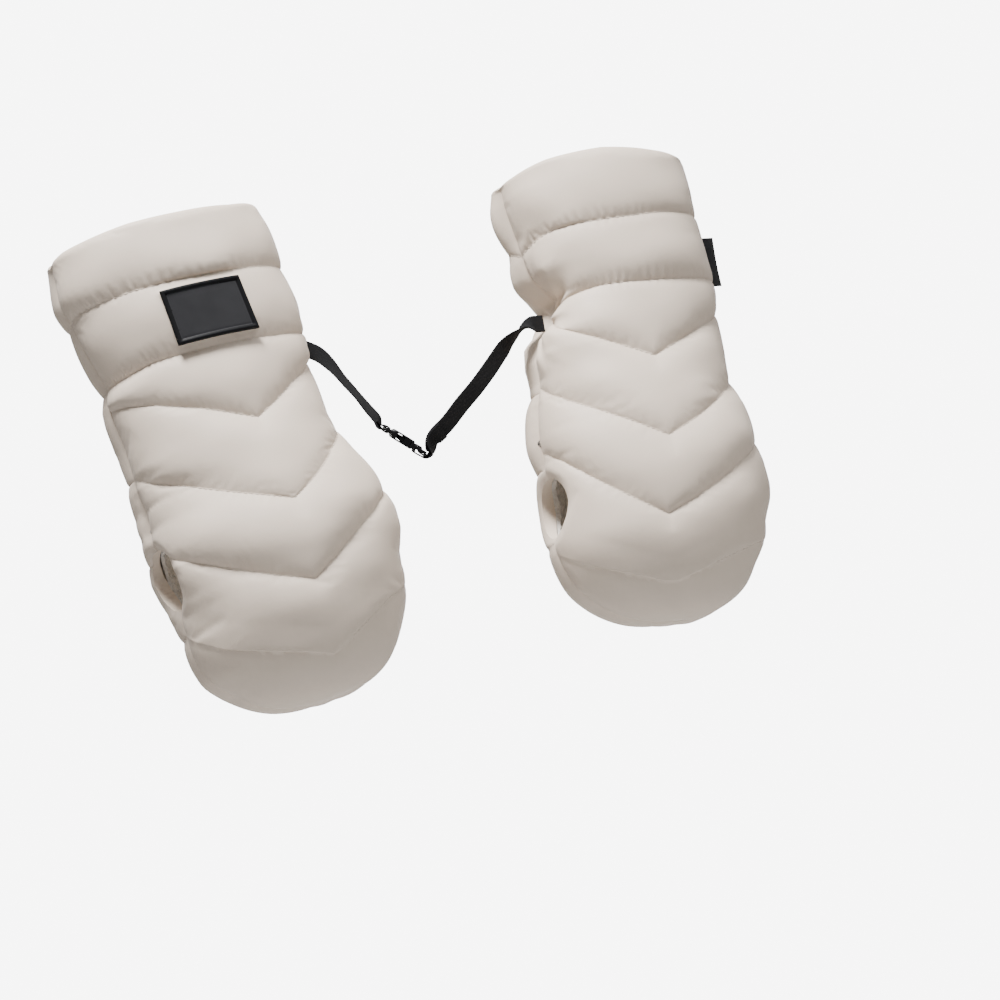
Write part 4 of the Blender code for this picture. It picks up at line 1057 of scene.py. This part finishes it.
def webbing(muff, route, turns):
    """Flat woven webbing with round edges and a faint crown across."""
    half = [(1.0, 0.0), (0.985, 0.55), (0.93, 0.90), (0.80, 1.0), (0.5, 0.93), (0.2, 1.0), (-0.2, 0.93), (-0.5, 1.0),
            (-0.80, 0.97), (-0.93, 0.90), (-0.985, 0.55)]
    section = half + [(-a, -b) for a, b in half]
    edge = [0.0]
    for (a, b), (c, d) in zip(section, section[1:]):
        edge.append(edge[-1] + abs(c - a) * WEBBING_WIDTH / 2 + abs(d - b) * WEBBING_THICKNESS / 2)
    points, uv, along = [], [], 0.0
    for k, point in enumerate(route):
        ahead = route[min(k + 1, len(route) - 1)] - route[max(k - 1, 0)]
        ahead.normalize()
        wide = (turns[k] - ahead * turns[k].dot(ahead)).normalized()
        thick = ahead.cross(wide)
        if k:
            along += (route[k] - route[k - 1]).length
        for (a, b), e in zip(section, edge):
            points.append(point + wide * a * WEBBING_WIDTH / 2 + thick * b * WEBBING_THICKNESS / 2)
            uv.append((e, along))
    name = f"{muff.name}_webbing"
    mesh = new_mesh(name, points, loft_faces(len(route), len(section)))
    add_uv(mesh, np.array(uv))
    return add_object(name, mesh, WEBBING), along


BUCKLE = buckle_matrix()
for muff in MUFFS.values():
    route, turns = strap_route(muff, BUCKLE)
    strap, length = webbing(muff, route, turns)
    print(f"{muff.name} webbing {length * 1000:.1f} mm")
    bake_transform(strap)
    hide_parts(f"strap_{muff.name}")


# Plastic and metal pieces carried over from the part

for name, made in NODES.items():
    kind = PLASTIC if name.startswith(("buckle", "prong")) else METAL if "snap" in name else None
    if kind:
        made.data.materials.clear()
        made.data.materials.append(kind)


# Patch and label

def surface_at(panel, p, height):
    """A point and outward normal of the finished outer skin, by share across and height, in world space."""
    world = panel.muff.world(panel.points)
    normal = grid_normals(world, panel.face)
    column = (p + 1) / 2 * (len(panel.p) - 1)
    i = int(np.clip(math.floor(column), 0, len(panel.p) - 2))
    v = column - i
    heights = panel.height[:, i] * (1 - v) + panel.height[:, i + 1] * v
    row = np.interp(-height, -heights, np.arange(len(heights)))
    j = int(np.clip(math.floor(row), 0, len(heights) - 2))
    u = row - j

    def at(field):
        upper = field[j, i] * (1 - v) + field[j, i + 1] * v
        lower = field[j + 1, i] * (1 - v) + field[j + 1, i + 1] * v
        return upper * (1 - u) + lower * u
    out = at(normal)
    return at(world), out / np.linalg.norm(out)


PATCH_CORNERS = ((-0.265, 0.2855), (0.199, 0.2835), (0.209, 0.2455), (-0.287, 0.2475))
PATCH_TERMS = [(a, b) for a in range(3) for b in range(2)]


def patch_form():
    """Where the stiff patch lies: a gently bent plate through its corners, as a function of two shares."""
    panel = PANELS["left", "front"]
    corners = [np.array(c) for c in PATCH_CORNERS]
    stiff, shares, found = 0.72, [], []
    for v in np.linspace(0, 1, 9):
        for u in np.linspace(0, 1, 13):
            q = (corners[0] * (1 - u) + corners[1] * u) * (1 - v) + (corners[3] * (1 - u) + corners[2] * u) * v
            shares.append((2 * u - 1, 2 * v - 1))
            found.append(surface_at(panel, q[0], q[1])[0])
    shares, found = np.array(shares), np.array(found)
    terms = np.stack([shares[:, 0] ** a * shares[:, 1] ** b for a, b in PATCH_TERMS], -1)
    weights, *_ = np.linalg.lstsq(terms, found, rcond=None)
    for k, (a, b) in enumerate(PATCH_TERMS):
        if a == 2:
            weights[0] += weights[k] * (1 - stiff) * 0.45 * (b == 0)
            weights[k] *= stiff

    def form(u, v):
        return sum(np.multiply.outer(u ** a * v ** b, w) for (a, b), w in zip(PATCH_TERMS, weights))
    return form


def build_patch(form):
    """A moulded rubber patch with a raised border."""
    nu, nv = 88, 60
    u, v = np.meshgrid(np.linspace(-1, 1, nu + 1), np.linspace(-1, 1, nv + 1))
    placed = form(u, v)
    normal = grid_normals(placed, FRONT)
    if np.mean(normal[..., 1]) > 0:
        normal = -normal
    wide = np.linalg.norm(placed[0, -1] - placed[0, 0])
    tall = np.linalg.norm(placed[-1, 0] - placed[0, 0])
    print(f"patch {wide * 1000:.1f} x {tall * 1000:.1f} mm")
    edge = np.minimum(wide * (1 - np.abs(u)) / 2, tall * (1 - np.abs(v)) / 2)
    border = np.clip((0.0030 - edge) / 0.0007, 0, 1)
    groove = np.exp(-((edge - 0.0036) / 0.0004) ** 2)
    rise = 0.0017 + 0.0009 * border - 0.0002 * groove
    top = placed + normal * rise[..., None]
    top -= normal * (np.clip(1 - edge / 0.0010, 0, 1) ** 2 * 0.0011)[..., None]
    bottom = placed - normal * 0.0006
    mesh = shell_mesh("left_patch", top, bottom[::2], list(range(0, nv + 1, 2)))
    weld(mesh, 0.000001)
    made = add_object("left_patch", mesh, RUBBER)
    mesh.materials.append(RUBBER_EDGE)
    top_flat, edge_flat = top.reshape(-1, 3), edge.reshape(-1)
    for face in mesh.polygons:
        near = np.argmin(np.sum((top_flat - np.array(face.center)) ** 2, -1))
        face.material_index = int(edge_flat[near] < 0.0034)
    hand_over(made, "left_muff", "left_rubber_patch")


def press_under_patch(form, shell):
    """Moves the cloth under and around the stiff patch to its underside."""
    mesh = shell.data
    points = np.empty(len(mesh.vertices) * 3)
    mesh.vertices.foreach_get("co", points)
    points = points.reshape(-1, 3)
    centre = form(np.array(0.0), np.array(0.0))
    side = (form(np.array(1.0), np.array(0.0)) - form(np.array(-1.0), np.array(0.0)))
    tall = (form(np.array(0.0), np.array(1.0)) - form(np.array(0.0), np.array(-1.0)))
    out = np.cross(side, tall)
    out /= np.linalg.norm(out)
    out *= -np.sign(out[1])
    wide, high = np.linalg.norm(side), np.linalg.norm(tall)
    basis = np.stack([side / 2, tall / 2, out], -1)
    local = np.linalg.solve(basis, (points - centre).T).T
    lay = form(local[:, 0], local[:, 1])
    above = np.sum((points - lay) * out, -1)
    beyond_u = np.maximum(np.abs(local[:, 0]) - 0.97, 0) * wide / 2
    beyond_v = np.maximum(np.abs(local[:, 1]) - 0.97, 0) * high / 2
    beyond = np.hypot(beyond_u, 2.4 * beyond_v)
    aim = np.where(beyond > 0.0001, np.clip(above, -0.0012, 0.0011), -0.0003)
    weight = np.exp(-(beyond / np.where(above > aim, 0.0080, 0.0016)) ** 2)
    weight = weight * (np.abs(above) < 0.0085) * (points[:, 1] < 0)
    weight = np.where(above < -0.0055, 0, weight)
    points += out * ((aim - above) * weight)[:, None]
    mesh.vertices.foreach_set("co", points.ravel())
    mesh.update()


def build_label():
    """A folded satin label sewn into the right muff's outer seam."""
    muff = MUFFS["right"]
    seam = muff.skin(FRONT, 1.0, 0.267, 0.0)
    reach, tall, thick, sewn, fold, rows = 0.017, 0.037, 0.0009, 0.005, 0.0009, 28
    flat = [(-sewn + (reach + sewn - fold) * t, (thick / 2) * (1 + 0.5 * math.sin(math.pi * t)))
            for t in np.linspace(0, 1, 12)]
    profile = [(x, -y) for x, y in flat]
    for turn in np.radians(np.linspace(-70, 70, 6)):
        profile.append((reach - fold + fold * math.cos(turn), 0.00075 * math.sin(turn)))
    profile += flat[::-1]
    points, uv = [], []
    for k in range(rows + 1):
        z = (k / rows - 0.5) * tall
        bend = 0.0012 * math.sin(k / rows * 3.0 + 0.4)
        for n, (x, y) in enumerate(profile):
            away = max(x, 0) / reach
            points.append((seam[0] + x, y + bend * away ** 2 - 0.0015 * away ** 2, seam[2] + z - 0.0008 * away))
            uv.append((n * 0.0012, z))
    mesh = new_mesh("right_label", muff.world(np.array(points)), loft_faces(rows + 1, len(profile)))
    add_uv(mesh, np.array(uv))
    weld(mesh, 0.000001)
    hand_over(add_object("right_label", mesh, LABEL), "right_muff", "right_side_label")


plate = patch_form()
press_under_patch(plate, bpy.data.objects["left_front_shell"])
build_patch(plate)
build_label()
